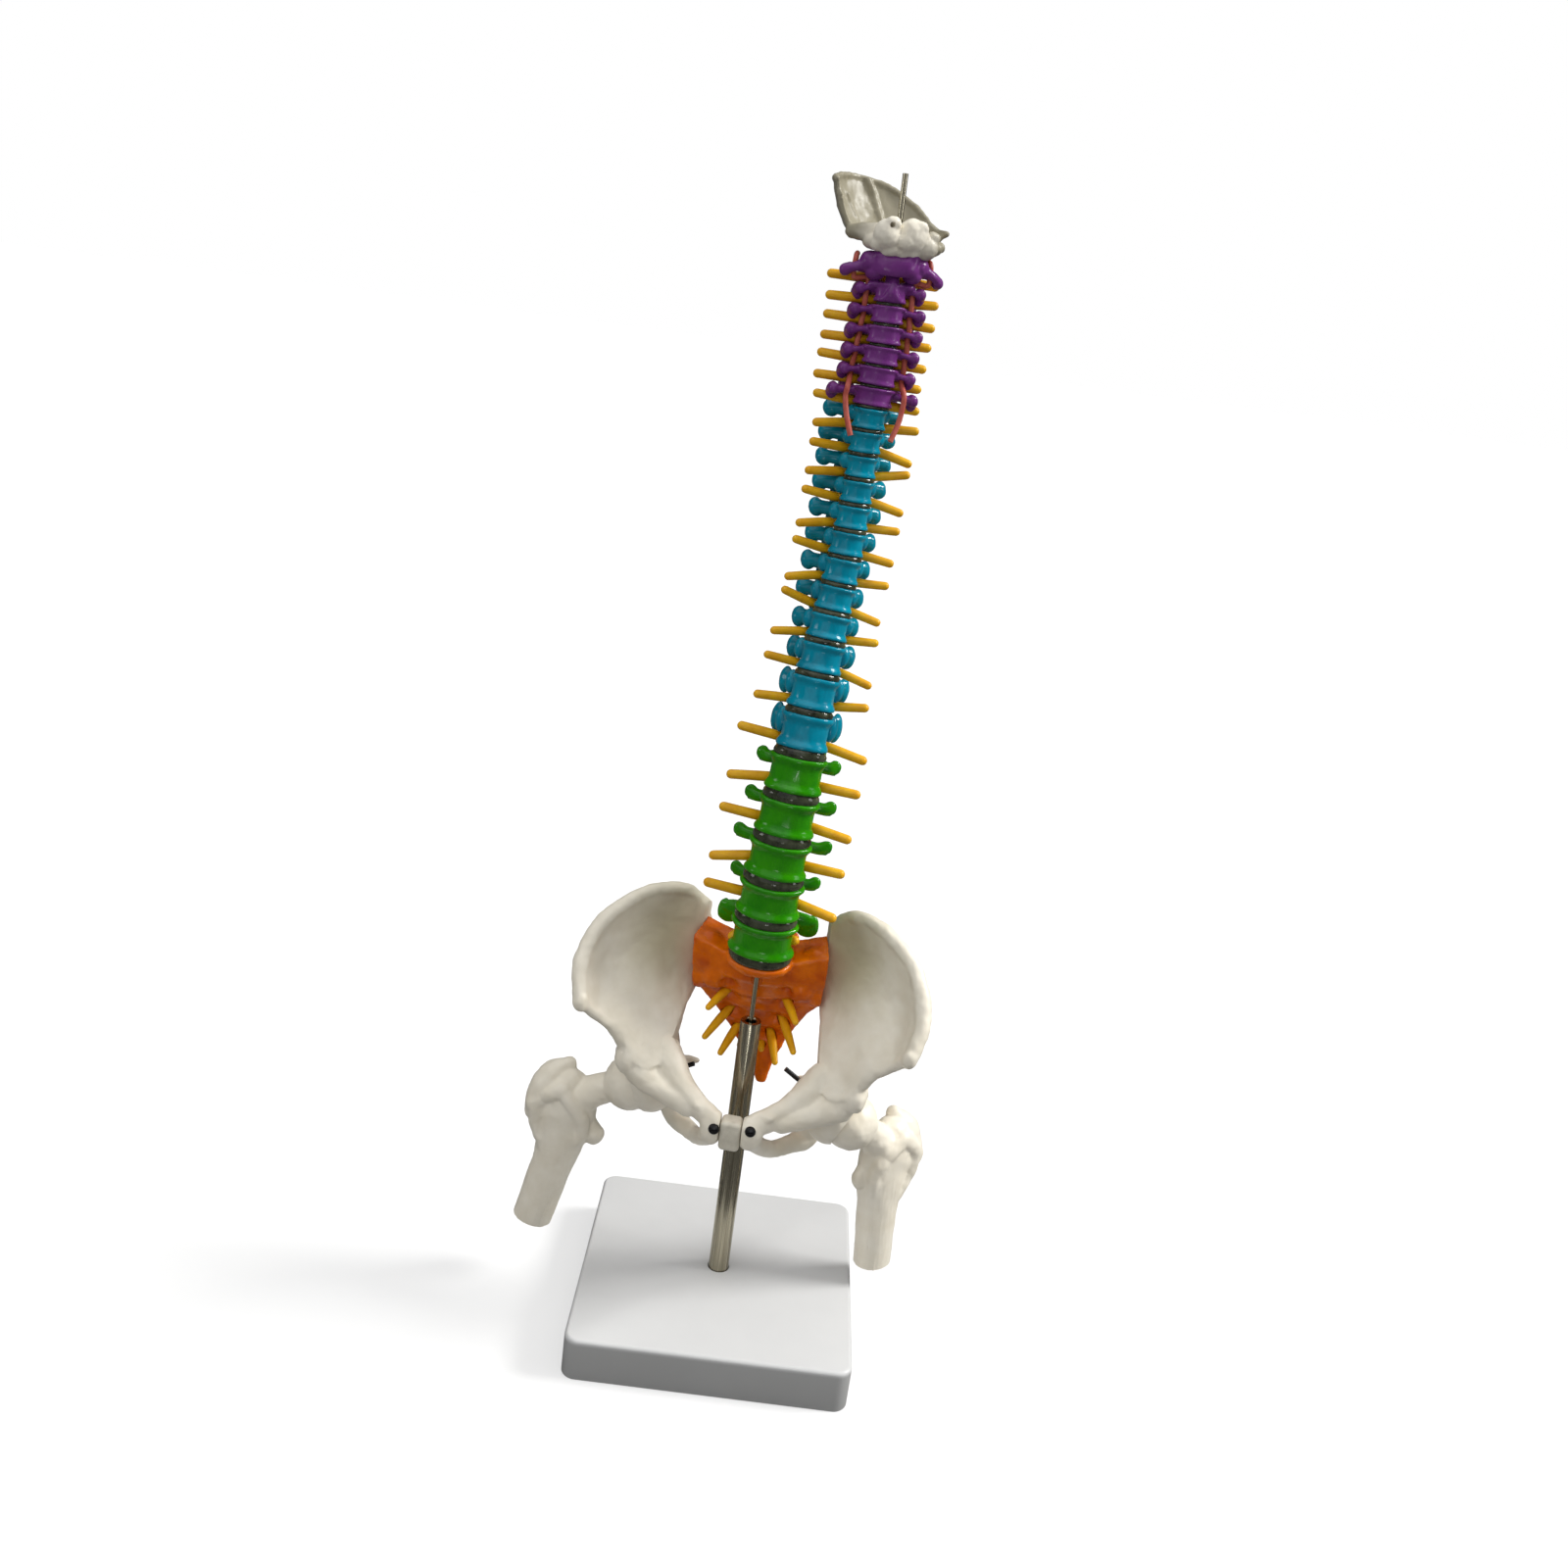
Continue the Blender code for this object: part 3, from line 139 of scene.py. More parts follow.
# Pelvis: everything below the column turns a little to the model's right
PELVIS_YAW = -5.5
S1_TILT = 13.0
HEAD_CENTRE = Vector((46.2, 0.0, 99.5))
HEAD_RADIUS = 11.5
SYMPHYSIS_HALF_WIDTH = 4.2
SYMPHYSIS_CENTRE = Vector((0.0, -25.5, 100.0))
SYMPHYSIS_SIZE = Vector((2.0 * SYMPHYSIS_HALF_WIDTH, 8.0, 13.0))
SACROILIAC_X = 28.6
SACROILIAC_SLOPE = 10.0
SACROILIAC_GAP = 0.2
FEMUR_END = {-1: 79.5, 1: 73.5}
FEMUR_SPLAY = {-1: 13.7, 1: 3.5}
FEMUR_TWIST = {-1: 0.0, 1: 42.0}

# Occiput
OCCIPUT_YAW = 12.0
OCCIPUT_RIM = ((-21, 22.1), (-13, 25.6), (-2, 25.6), (8, 23.1), (15, 18.1), (18, 14.6), (21, 8.6))

# Values of the fine drawing
SHARP_ANGLE = math.radians(38)
BASE_FOOT_RADIUS = 0.5
NERVE_DOMES = (0.4, 0.75, 0.95)
DISC_GAP = 0.12
OCCIPUT_LUMPS = (((-6.2, -4.8, 5.6), (4.8, 4.2, 5.0)), ((-8.6, -3.0, 2.4), (2.8, 3.2, 2.6)),
                 ((-5.0, -6.6, 9.0), (2.8, 2.2, 2.4)), ((3.4, -4.8, 6.0), (5.8, 4.6, 5.6)),
                 ((5.6, -7.0, 9.0), (2.6, 2.0, 2.2)), ((0.6, -6.6, 3.6), (3.4, 2.6, 3.0)),
                 ((-4.0, -3.6, 1.4), (3.6, 3.0, 3.0)), ((4.4, -3.6, 1.4), (3.8, 3.0, 3.2)),
                 ((0.2, -4.4, 1.6), (3.2, 2.4, 3.2)), ((9.4, -3.4, 3.0), (4.8, 4.4, 4.2)),
                 ((11.4, -4.6, 6.4), (2.6, 2.4, 2.2)), ((13.4, -0.6, 3.4), (3.8, 3.8, 2.8)),
                 ((17.0, 2.6, 4.0), (2.6, 2.8, 1.9)))
SACRUM_RIDGES = ((154.0, 15.0), (145.5, 13.5), (137.0, 11.0), (128.5, 8.5))
DISC_PROFILE = ((0.0, 0.985), (0.08, 1.0), (0.3, 1.035), (0.5, 1.045), (0.7, 1.035), (0.92, 1.0),
                (1.0, 0.985))
SCREWS = (((-6.4, -29.6, 103.0), (0, -1, 0.15)), ((8.0, -29.2, 104.4), (0, -1, 0.15)))
HIP_SCREWS = ((-1, ((34.0, 0.0, 106.0), (21.0, 0.0, 113.2))),
              (1, ((34.0, 0.0, 106.8), (16.6, 0.0, 118.2))))
HIP_SCREW_RADIUS = 1.7
# Skin waviness of each kind of bone: depth and size of the waves
WAVES = {"vertebra": (0.12, 2.6), "sacrum": (0.35, 6.0), "hip": (0.45, 6.5), "femur": (0.40, 6.0),
         "occiput": (0.35, 4.0)}
OCCIPUT_BORE = ((-6.0, -14.0, 9.0), (-6.0, -4.5, 8.2), 0.95)
THORACIC_SLOPE = ((5, 0.25), (8, 0.75), (11, 1.0), (14, 0.7), (16, 0.35))
THORACIC_SPINE = ((5, 10.0), (8, 11.5), (16, 12.5))
THORACIC_BLADE = ((5, 3.4), (7, 2.2), (16, 1.8))
NERVE_HEIGHT = ((0, 0.30), (5, 0.30), (8, 0.33), (17, 0.37), (23, 0.37))
LIP_PROFILE = ((0.22, 0.005), (0.42, 0.035), (0.60, 0.38), (0.72, 0.80), (0.82, 1.0), (0.92, 1.0))

# Directions that a tube's half width points in
SIDEWAYS, UPWARD = (1.0, 0.0, 0.0), (0.0, 1.0, 0.0)

# How far the neck processes drop, and how much less the second one reaches
NECK_DROP = 0.8
AXIS_NARROWING = 0.8
ATLAS_FRONT = ((0.0, -4.7, 0.3, 1.6, 3.5), (4.6, -4.1, 0.3, 1.8, 3.4), (8.2, -1.1, 0.6, 2.2, 3.2))
ATLAS_BALLS = ((4.9, -3.4, 1.0, 3.0, 2.0, 3.3), (8.2, 1.0, 1.0, 4.4, 4.9, 4.0),
               (6.6, -0.6, -2.0, 3.6, 3.4, 2.9), (5.2, -2.6, 3.0, 3.4, 2.6, 2.8))
ATLAS_DROOP = ((-1, 2.2), (1, 3.3))

# Hip bone, x counted outward: rows of x, y, z, thickness from the crest down to the brim
HIP_WING = (
    ((65, -27, 147, 5.0), (67.5, -20, 160, 5.5), (63.5, -11, 173, 5.5), (55, -3, 181.5, 5.0),
     (44, 5, 186, 4.6), (34, 13, 184, 5.0), (26.5, 22, 174, 8.0), (25, 30, 162, 8.0)),
    ((60, -22, 141, 3.6), (60, -15, 150, 2.8), (56, -7, 158, 2.3), (49, 0, 164, 2.1),
     (41, 7, 167, 2.2), (34, 13, 167, 4.6), (28.5, 19, 162, 9.0), (25.5, 26, 152, 9.0)),
    ((52, -19, 134, 4.6), (50, -15.5, 137, 4.6), (47, -11, 139, 4.6), (43, -6, 141, 4.8),
     (39, 0, 143, 5.5), (35, 6, 144.5, 6.5), (31, 13, 144.5, 8.5), (28.5, 20, 143, 9.0)),
    ((46.5, -17, 122, 7.5), (43, -16.5, 118.5, 8.0), (39, -15, 116.5, 8.5), (35, -12.5, 117, 8.5),
     (32.5, -8.5, 120, 8.5), (32, -3.5, 126, 8.0), (32, 2, 132, 7.5), (32, 8, 137, 7.0)))
HIP_LIP = (2.9, 3.3, 3.2, 2.9, 2.7, 2.9, 3.4)
HIP_EDGE = ((64.2, -26.4, 145.5), (60.2, -22.4, 140.6), (53.0, -19.4, 134.0), (47.6, -17.4, 125.5))
HIP_LINE = ((29.5, 12.0, 141.0), (30.2, 2.0, 131.5), (29.8, -5.5, 123.0), (26.0, -12.0, 117.2),
            (19.0, -18.0, 112.6), (11.5, -23.4, 108.8), (6.5, -26.2, 106.6))
# Direction of the half width, then rows of x, y, z, half width, half height
HIP_TUBES = (
    ((0.6, -0.75, 0.0), ((45.5, -13.5, 121.0, 6.5, 6.0), (38.5, -13.0, 113.0, 7.5, 6.5),
                         (30.0, -15.0, 108.5, 6.0, 5.6), (19.0, -19.5, 105.0, 4.2, 4.8))),
    ((0.6, -0.75, 0.0), ((34, -6, 122, 6.5, 7.5), (28.5, -10.5, 114.5, 6.4, 8.0),
                         (22, -15.5, 109.5, 4.8, 6.6), (14, -21.0, 106.0, 4.0, 5.2),
                         (7, -25, 103, 4.4, 5.0))),
    ((0.8, -0.6, 0.0), ((36, 9, 118, 6.5, 6.5), (34.5, 11, 102, 6.8, 6.6), (31, 12.5, 89, 5.8, 6.0),
                        (28, 11, 81.5, 4.8, 5.2), (22, 4, 81.0, 3.6, 3.9), (15.5, -5, 83.0, 3.0, 3.8),
                        (10, -15, 90.5, 2.9, 4.0), (7, -23, 98, 3.7, 4.2))),
    ((0.0, 0.0, 1.0), ((33, 12, 105, 3.5, 4.5), (27, 17, 104.5, 2.2, 2.8),
                       (22, 19.5, 104, 1.2, 1.4))))
# Middle and radii
HIP_BALLS = ((64.6, -26.8, 146.6, 3.1, 3.4, 4.2), (46.5, -16.9, 120.0, 4.6, 4.6, 6.4),
             (41.5, -13.5, 112.0, 5.2, 4.6, 5.2), (37.5, 0.0, 105.5, 12.0, 14.0, 16.5),
             (41.0, -4.0, 122.0, 9.5, 10.5, 14.0), (7.8, -25, 101.0, 5.0, 4.8, 7.8),
             (13.5, -23.6, 108.4, 3.2, 2.4, 2.2))

# Thigh bone, about the middle of its head, x counted outward
FEMUR_PEG = {-1: 1.0, 1: 0.72}
FEMUR_SHAFT = ((19, 0, -60, 8.7, 7.6), (19.2, 0, -44, 9.6, 8.0), (20.5, 0.5, -30, 12.4, 8.6),
               (23.0, 1, -20, 13.0, 8.8), (25, 1.5, -13, 9.0, 7.0))
FEMUR_TUBES = (
    (UPWARD, ((2, 0, -2.0, 7.0, 7.0), (10, 0.5, -8.0, 6.3, 6.4), (19, 1, -17.0, 8.5, 8.5))),
    (SIDEWAYS, ((33.5, 2, -29, 5.6, 7.4), (33.0, 2, -21, 7.0, 8.6), (31.0, 3, -12.5, 6.8, 7.6),
                (27.4, 4.5, -6.2, 3.4, 3.8))),
    ((0.6, 0.0, 0.8), ((25.4, -4.2, -13.0, 4.4, 4.2), (32.6, -3.4, -21.0, 4.2, 4.2),
                       (31.8, -3.2, -30.0, 3.8, 3.6), (26.5, -3.8, -39.0, 3.0, 2.8),
                       (22.0, -4.6, -46.0, 2.0, 1.9))),
    ((0.6, 0.0, 0.8), ((25.4, -4.4, -13.0, 4.0, 3.8), (16.6, -5.0, -19.0, 3.8, 3.7),
                       (12.2, -4.2, -28.0, 3.4, 3.2), (13.6, -3.8, -38.0, 2.4, 2.2))))
FEMUR_BALLS = ((28.4, 4.6, -8.0, 3.0, 4.4, 4.2), (34.8, -1.5, -24.0, 3.8, 5.4, 6.2))

# Sacrum, from its upper edge to the tip of the tail: middle x, reach to the side, y and z of the
# middle, y and z of the sides, thickness at the middle and at the sides
SACRUM_ROWS = (
    (0.0, 29.5, 7.0, 163.0, 11.5, 171.0, 15.0, 17.0), (0.1, 30.5, 10.5, 153.0, 13.5, 158.5, 16.0, 18.0),
    (0.4, 28.0, 16.0, 144.0, 16.5, 147.0, 13.0, 12.0), (1.0, 20.5, 18.4, 136.0, 18.4, 137.5, 11.5, 9.0),
    (1.8, 15.0, 20.4, 127.0, 20.4, 128.0, 9.2, 7.4), (2.8, 10.2, 20.3, 118.5, 20.3, 119.0, 7.2, 5.8),
    (4.4, 5.4, 18.8, 110.0, 18.8, 110.0, 5.0, 4.0), (6.2, 2.0, 16.5, 101.0, 16.5, 101.0, 3.2, 2.6))
SACRUM_BALLS = ((21.5, 9.0, 161.0, 7.5, 6.2, 8.5), (17.5, 8.6, 151.0, 6.5, 5.4, 6.0),
                (24.5, 12.0, 149.0, 5.0, 6.0, 6.5))


def keyed(table, position):
    """Value at a position in a table of (position, value) pairs."""
    return float(np.interp(position, [row[0] for row in table], [row[1] for row in table]))


def rotation(tilt, lean, yaw):
    """Turn from a forward tilt, a lean to +X and a yaw to the left, in degrees."""
    turn = Matrix.Rotation(math.radians(lean), 4, "Y")
    turn @= Matrix.Rotation(math.radians(tilt), 4, "X")
    return turn @ Matrix.Rotation(math.radians(yaw), 4, "Z")


def column_frames():
    """Frame at the middle of every vertebra, and the top of the column."""
    foot = COLUMN_START.copy()
    frames = []
    for level in range(len(LEVELS)):
        turn = rotation(keyed(TILT, level), keyed(LEAN, level), keyed(YAW, level))
        rise = turn.to_3x3() @ Vector((0.0, 0.0, keyed(PITCH, level)))
        frames.append(Matrix.Translation(foot + rise / 2) @ turn)
        foot = foot + rise
    return frames, foot


def smooth_path(keys, steps):
    """Curve through rows of numbers, with the given steps between rows."""
    rows = np.array([keys[0]] + list(keys) + [keys[-1]], dtype=float)
    points = []
    for i in range(1, len(rows) - 2):
        a, b, c, d = rows[i - 1:i + 3]
        for step in range(steps):
            t = step / steps
            points.append(0.5 * (2 * b + (c - a) * t + (2 * a - 5 * b + 4 * c - d) * t ** 2
                                 + (3 * b - a - 3 * c + d) * t ** 3))
    points.append(rows[-2])
    return points


def loft(bm, rings):
    """Closed solid through rings that have the same number of points."""
    rows = [[bm.verts.new(point) for point in ring] for ring in rings]
    count = len(rows[0])
    for low, high in zip(rows, rows[1:]):
        for k in range(count):
            bm.faces.new((low[k], low[(k + 1) % count], high[(k + 1) % count], high[k]))
    bm.faces.new(list(reversed(rows[0])))
    bm.faces.new(rows[-1])


def tube(bm, keys, side=(1.0, 0.0, 0.0), steps=8, sides=32, domes=(0.3, 0.55, 0.75, 0.9, 0.98)):
    """Swept oval through rows of x, y, z, half width along side, half height."""
    rows = smooth_path(keys, steps)
    centres = [Vector(row[:3]) for row in rows]
    rings = []
    for i, row in enumerate(rows):
        tangent = (centres[min(i + 1, len(rows) - 1)] - centres[max(i - 1, 0)]).normalized()
        across = Vector(side)
        across = (across - across.dot(tangent) * tangent).normalized()
        over = tangent.cross(across)
        ends = [(0.0, 1.0)]
        if i in (0, len(rows) - 1):
            reach = min(row[3], row[4]) * (1 if i else -1)
            ends = [(0.0, 1.0)] + [(reach * s, math.sqrt(1.0 - s * s)) for s in domes]
            ends = ends if i else list(reversed(ends))
        for shift, scale in ends:
            rings.append([centres[i] + tangent * shift
                          + across * (math.cos(a) * row[3] * scale)
                          + over * (math.sin(a) * row[4] * scale)
                          for a in (2 * math.pi * k / sides for k in range(sides))])
    loft(bm, rings)


def ball(bm, centre, radii):
    """Ellipsoid."""
    size = Matrix.Diagonal((*radii, 1.0))
    bmesh.ops.create_uvsphere(bm, u_segments=48, v_segments=32, radius=1.0,
                              matrix=Matrix.Translation(centre) @ size)


def sided(side, rows):
    """Rows with x counted outward on one side."""
    return [(side * row[0], *row[1:]) for row in rows]


def tube_pair(bm, rows, across=(1.0, 0.0, 0.0)):
    """The same tube on both sides."""
    for side in (-1, 1):
        tube(bm, sided(side, rows), side=(side * across[0], *across[1:]))


def ball_pair(bm, *row):
    """The same ellipsoid on both sides, from its middle and radii."""
    for side in (-1, 1):
        ball(bm, (side * row[0], *row[1:3]), row[3:])


def sheet(bm, rows, steps=8):
    """Curved plate through rows of x, y, z, thickness."""
    lines = [smooth_path(row, steps) for row in rows]
    grid = np.array([smooth_path([line[k] for line in lines], steps)
                     for k in range(len(lines[0]))])
    along = np.gradient(grid[:, :, :3], axis=0)
    across = np.gradient(grid[:, :, :3], axis=1)
    normal = np.cross(along, across)
    normal /= np.linalg.norm(normal, axis=2, keepdims=True)
    offset = normal * grid[:, :, 3:4] / 2
    faces = [[[bm.verts.new(point) for point in line] for line in grid[:, :, :3] + sign * offset]
             for sign in (1, -1)]
    count_a, count_b = grid.shape[:2]
    for side in faces:
        for a in range(count_a - 1):
            for b in range(count_b - 1):
                bm.faces.new((side[a][b], side[a + 1][b], side[a + 1][b + 1], side[a][b + 1]))
    rim = ([(a, 0) for a in range(count_a - 1)] + [(count_a - 1, b) for b in range(count_b - 1)]
           + [(a, count_b - 1) for a in range(count_a - 1, 0, -1)]
           + [(0, b) for b in range(count_b - 1, 0, -1)])
    for here, there in zip(rim, rim[1:] + rim[:1]):
        bm.faces.new((faces[0][here[0]][here[1]], faces[1][here[0]][here[1]],
                      faces[1][there[0]][there[1]], faces[0][there[0]][there[1]]))


def new_object(name, bm):
    """Object from a bmesh whose closed shapes all face outward."""
    bmesh.ops.recalc_face_normals(bm, faces=bm.faces)
    mesh = bpy.data.meshes.new(name)
    bm.to_mesh(mesh)
    bm.free()
    obj = bpy.data.objects.new(name, mesh)
    bpy.context.collection.objects.link(obj)
    return obj


def apply_modifiers(obj):
    """Replace the mesh by what its modifiers make of it."""
    bpy.context.view_layer.update()
    depsgraph = bpy.context.evaluated_depsgraph_get()
    mesh = bpy.data.meshes.new_from_object(obj.evaluated_get(depsgraph))
    obj.modifiers.clear()
    obj.data = mesh


def combine(obj, tool, operation="DIFFERENCE"):
    """Boolean with a tool object, which is then removed."""
    modifier = obj.modifiers.new(operation.title(), "BOOLEAN")
    modifier.operation = operation
    modifier.solver = "EXACT"
    modifier.object = tool
    apply_modifiers(obj)
    bpy.data.objects.remove(tool)


def melt(obj, voxel, soften, triangles):
    """Turn overlapping closed shapes into one thinned skin."""
    skin = obj.modifiers.new("Skin", "REMESH")
    skin.mode = "VOXEL"
    skin.voxel_size = voxel
    smooth = obj.modifiers.new("Soften", "SMOOTH")
    smooth.iterations = soften
    apply_modifiers(obj)
    obj.data.calc_loop_triangles()
    thin = obj.modifiers.new("Thin", "DECIMATE")
    thin.ratio = triangles / len(obj.data.loop_triangles)
    thin.use_collapse_triangulate = True
    apply_modifiers(obj)


def weld(obj):
    """Close the hairline seams that cutting may leave and split faces of many corners."""
    bm = bmesh.new()
    bm.from_mesh(obj.data)
    bmesh.ops.remove_doubles(bm, verts=bm.verts, dist=WELD)
    bmesh.ops.dissolve_degenerate(bm, dist=WELD, edges=bm.edges)
    for _ in range(6):
        bmesh.ops.triangulate(bm, faces=[face for face in bm.faces if len(face.verts) > 4])
        bad = [edge for edge in bm.edges if len(edge.link_faces) != 2]
        if not bad:
            break
        torn = {face for edge in bad for corner in edge.verts for face in corner.link_faces}
        bmesh.ops.delete(bm, geom=list(torn), context="FACES")
        bmesh.ops.delete(bm, geom=[edge for edge in bm.edges if not edge.link_faces], context="EDGES")
        bmesh.ops.delete(bm, geom=[corner for corner in bm.verts if not corner.link_edges],
                         context="VERTS")
        rim = [edge for edge in bm.edges if len(edge.link_faces) == 1]
        bmesh.ops.holes_fill(bm, edges=rim, sides=0)
    bm.to_mesh(obj.data)
    bm.free()


def rod(start, end, radius, sides=12):
    """Straight cylinder between two points, as a cutting tool."""
    bm = bmesh.new()
    keys = [(*start, radius, radius), (*end, radius, radius)]
    axis = (Vector(end) - Vector(start)).normalized()
    side = (1.0, 0.0, 0.0) if abs(axis.x) < 0.7 else (0.0, 1.0, 0.0)
    tube(bm, keys, side=side, steps=1, sides=sides, domes=())
    return new_object("cutter", bm)


def box(low, high, turn=None):
    """Box between two corners, as a cutting tool or a block."""
    bm = bmesh.new()
    low, high = Vector(low), Vector(high)
    size = Matrix.Diagonal((*(high - low), 1.0))
    bmesh.ops.create_cube(bm, size=1.0, matrix=Matrix.Translation((low + high) / 2) @ size)
    if turn:
        bmesh.ops.transform(bm, matrix=turn, verts=bm.verts)
    return new_object("cutter", bm)


def level_sizes(level):
    """Sizes of one vertebra, from the tables."""
    width, pitch = keyed(BODY_WIDTH, level), keyed(PITCH, level)
    depth = width * keyed(BODY_ASPECT, level)
    back, canal_depth = depth * 0.42, keyed(CANAL_DEPTH, level)
    return SimpleNamespace(
        pitch=pitch, height=pitch - keyed(DISC_SPACE, level), width=width, depth=depth, back=back,
        canal_width=keyed(CANAL_WIDTH, level), canal_depth=canal_depth,
        canal_y=back + canal_depth / 2, arch_y=back + canal_depth + 0.6,
        reach=keyed(PROCESS_SPAN, level) / 2)


def body_ring(width, depth, z, sides=64):
    """Kidney outline of a vertebral body, flatter behind than in front."""
    points = []
    for k in range(sides):
        a = 2 * math.pi * k / sides
        x = math.sin(a) * width / 2
        y = -math.cos(a) * depth / 2
        if y > 0:
            y *= 0.84 * (1.0 - 0.12 * math.cos(math.pi * x / width) ** 4)
        points.append(Vector((x, y, z)))
    return points


def add_body(bm, s, waist=0.87):
    """Waisted drum with lipped rims."""
    half = s.height / 2
    upper = [(z, waist + (1.0 - waist) * share) for z, share in LIP_PROFILE] + [(1.0, 0.962)]
    profile = [(-z, scale) for z, scale in reversed(upper)] + [(0.0, waist)] + upper
    profile = [tuple(row) for row in smooth_path(profile, 3)]
    loft(bm, [body_ring(s.width * scale, s.depth * scale, half * z)
              for z, scale in profile])


def add_arch(bm, s, pedicle_z, pedicle_height, lamina_height):
    """Two pedicles and two laminae round the canal."""
    hip = s.canal_width / 2 + 1.2
    tube_pair(bm, [(hip - 1.0, s.back * 0.4, pedicle_z, 1.5, pedicle_height / 2),
                   (hip, s.canal_y - 0.5, pedicle_z, 1.3, pedicle_height / 2),
                   (hip * 0.97, s.arch_y - 1.4, pedicle_z - 0.4, 1.5, pedicle_height / 2)])
    tube_pair(bm, [(hip * 0.97, s.arch_y - 1.4, pedicle_z - 0.6, 1.2, lamina_height * 0.4),
                   (hip * 0.6, s.arch_y + 0.6, -0.1 * lamina_height, 1.1, lamina_height / 2),
                   (0.0, s.arch_y + 2.0, -0.16 * lamina_height, 1.3, lamina_height / 2)],
              (0.3, 1.0, 0.0))


def add_articular(bm, x, y, top, bottom, size, deep, offset, step):
    """Upper processes, and lower ones set back by a step to pass behind the next."""
    for column, row, end in ((x, y, top), (x - offset, y + step, bottom)):
        tube_pair(bm, [(column, row, 0.0, size, deep * 1.2), (column, row, end * 0.6, size, deep * 1.1),
                       (column, row, end, size * 0.9, deep)])


def lumbar_vertebra(bm, s, level):
    """Broad body, lobed side processes and a deep hatchet behind."""
    add_body(bm, s)
    add_arch(bm, s, 0.16 * s.pitch, 0.42 * s.pitch, 0.56 * s.pitch)
    hip = s.canal_width / 2 + 1.8
    thick, tall, lobe, rise = (2.1, 3.8, 5.6, 0.0) if level == 0 else (1.7, 2.5, 3.1, 0.15 * s.pitch)
    tube_pair(bm, [(hip - 1.0, s.canal_y + 1.0, 0.14 * s.pitch, thick + 0.4, tall),
                   ((hip + s.reach) * 0.5, s.canal_y + 0.8, 0.12 * s.pitch, thick, tall),
                   (s.reach - lobe * 0.75, s.canal_y + 1.9, rise, thick, lobe),
                   (s.reach - 1.5, s.canal_y + 2.2, rise, thick * 0.9, lobe * 0.8)], UPWARD)
    add_articular(bm, hip + 0.8, s.arch_y + 0.4, 0.54 * s.pitch, -0.56 * s.pitch, 2.0, 1.15, 2.9, 3.0)
    blade = 0.27 * s.pitch
    tube(bm, [(0.0, s.arch_y + 1.0, -0.10 * s.pitch, 1.3, blade),
              (0.0, s.arch_y + 7.0, -0.13 * s.pitch, 1.1, blade * 0.95),
              (0.0, s.arch_y + 13.0, -0.20 * s.pitch, 1.6, blade * 1.02)])


def thoracic_vertebra(bm, s, level):
    """Heart-shaped body, knobbed side processes and a long spine sloping down."""
    add_body(bm, s)
    add_arch(bm, s, 0.16 * s.pitch, 0.40 * s.pitch, 0.60 * s.pitch)
    hip = s.canal_width / 2 + 1.4
    knob = 2.3 if level > T12 + 1 else 2.0
    lobe = 0.33 * s.pitch
    tube_pair(bm, [(hip, s.canal_y + 1.6, 0.14 * s.pitch, 2.1, lobe * 0.85),
                   ((hip + s.reach) * 0.5, s.canal_y + 2.8, 0.16 * s.pitch, 2.0, lobe * 0.8),
                   (s.reach - knob * 1.2, s.arch_y + 0.6, 0.17 * s.pitch, knob * 1.1, lobe)], UPWARD)
    ball_pair(bm, s.width / 2 - 0.6, s.back * 0.8, 0.15 * s.pitch, 2.6, 2.6, lobe)
    ball_pair(bm, s.reach - knob * 1.5, s.arch_y - 0.6, 0.10 * s.pitch, knob * 1.35, knob * 1.1,
              lobe * 1.05)
    add_articular(bm, hip - 0.6, s.arch_y - 1.0, 0.54 * s.pitch, -0.54 * s.pitch,
                  1.7, 0.75, 0.3, 3.7 if level == T12 else 2.9)
    slope, length, blade = [keyed(table, level) for table in
                            (THORACIC_SLOPE, THORACIC_SPINE, THORACIC_BLADE)]
    start = s.arch_y + 1.2
    tube(bm, [(0.0, start, -0.12 * s.pitch, 1.3, blade * 1.15),
              (0.0, start + length * 0.5, -0.14 * s.pitch - slope * length * 0.42, 1.1, blade),
              (0.0, start + length, -0.16 * s.pitch - slope * length * 0.9, 1.3, blade * 0.85)])


def artery_hole(s):
    """Middle of the artery's hole in a neck vertebra's left process."""
    return Vector((s.width / 2 + 2.5, 2.0, 0.14 * s.pitch))


def neck_process(bm, s):
    """Side process of a neck vertebra with two lumps round the artery's hole."""
    hole = artery_hole(s)
    tube_pair(bm, [(s.width / 2 - 1.0, hole.y + 0.6, hole.z, 2.6, 1.9),
                   (hole.x, hole.y + 0.7, hole.z, 3.5, 1.5),
                   (s.reach - 1.4, hole.y, hole.z - NECK_DROP, 2.8, 1.8)], UPWARD)
    ball_pair(bm, s.reach - 1.9, hole.y - 1.2, hole.z - NECK_DROP * 0.7 + 0.2, 2.1, 2.0, 2.1)
    ball_pair(bm, s.reach - 1.9, hole.y + 1.9, hole.z - NECK_DROP * 0.5, 1.8, 1.6, 1.6)
    ball_pair(bm, s.reach - 1.7, hole.y + 1.9, -0.03 * s.pitch, 2.3, 2.3, 0.43 * s.pitch)


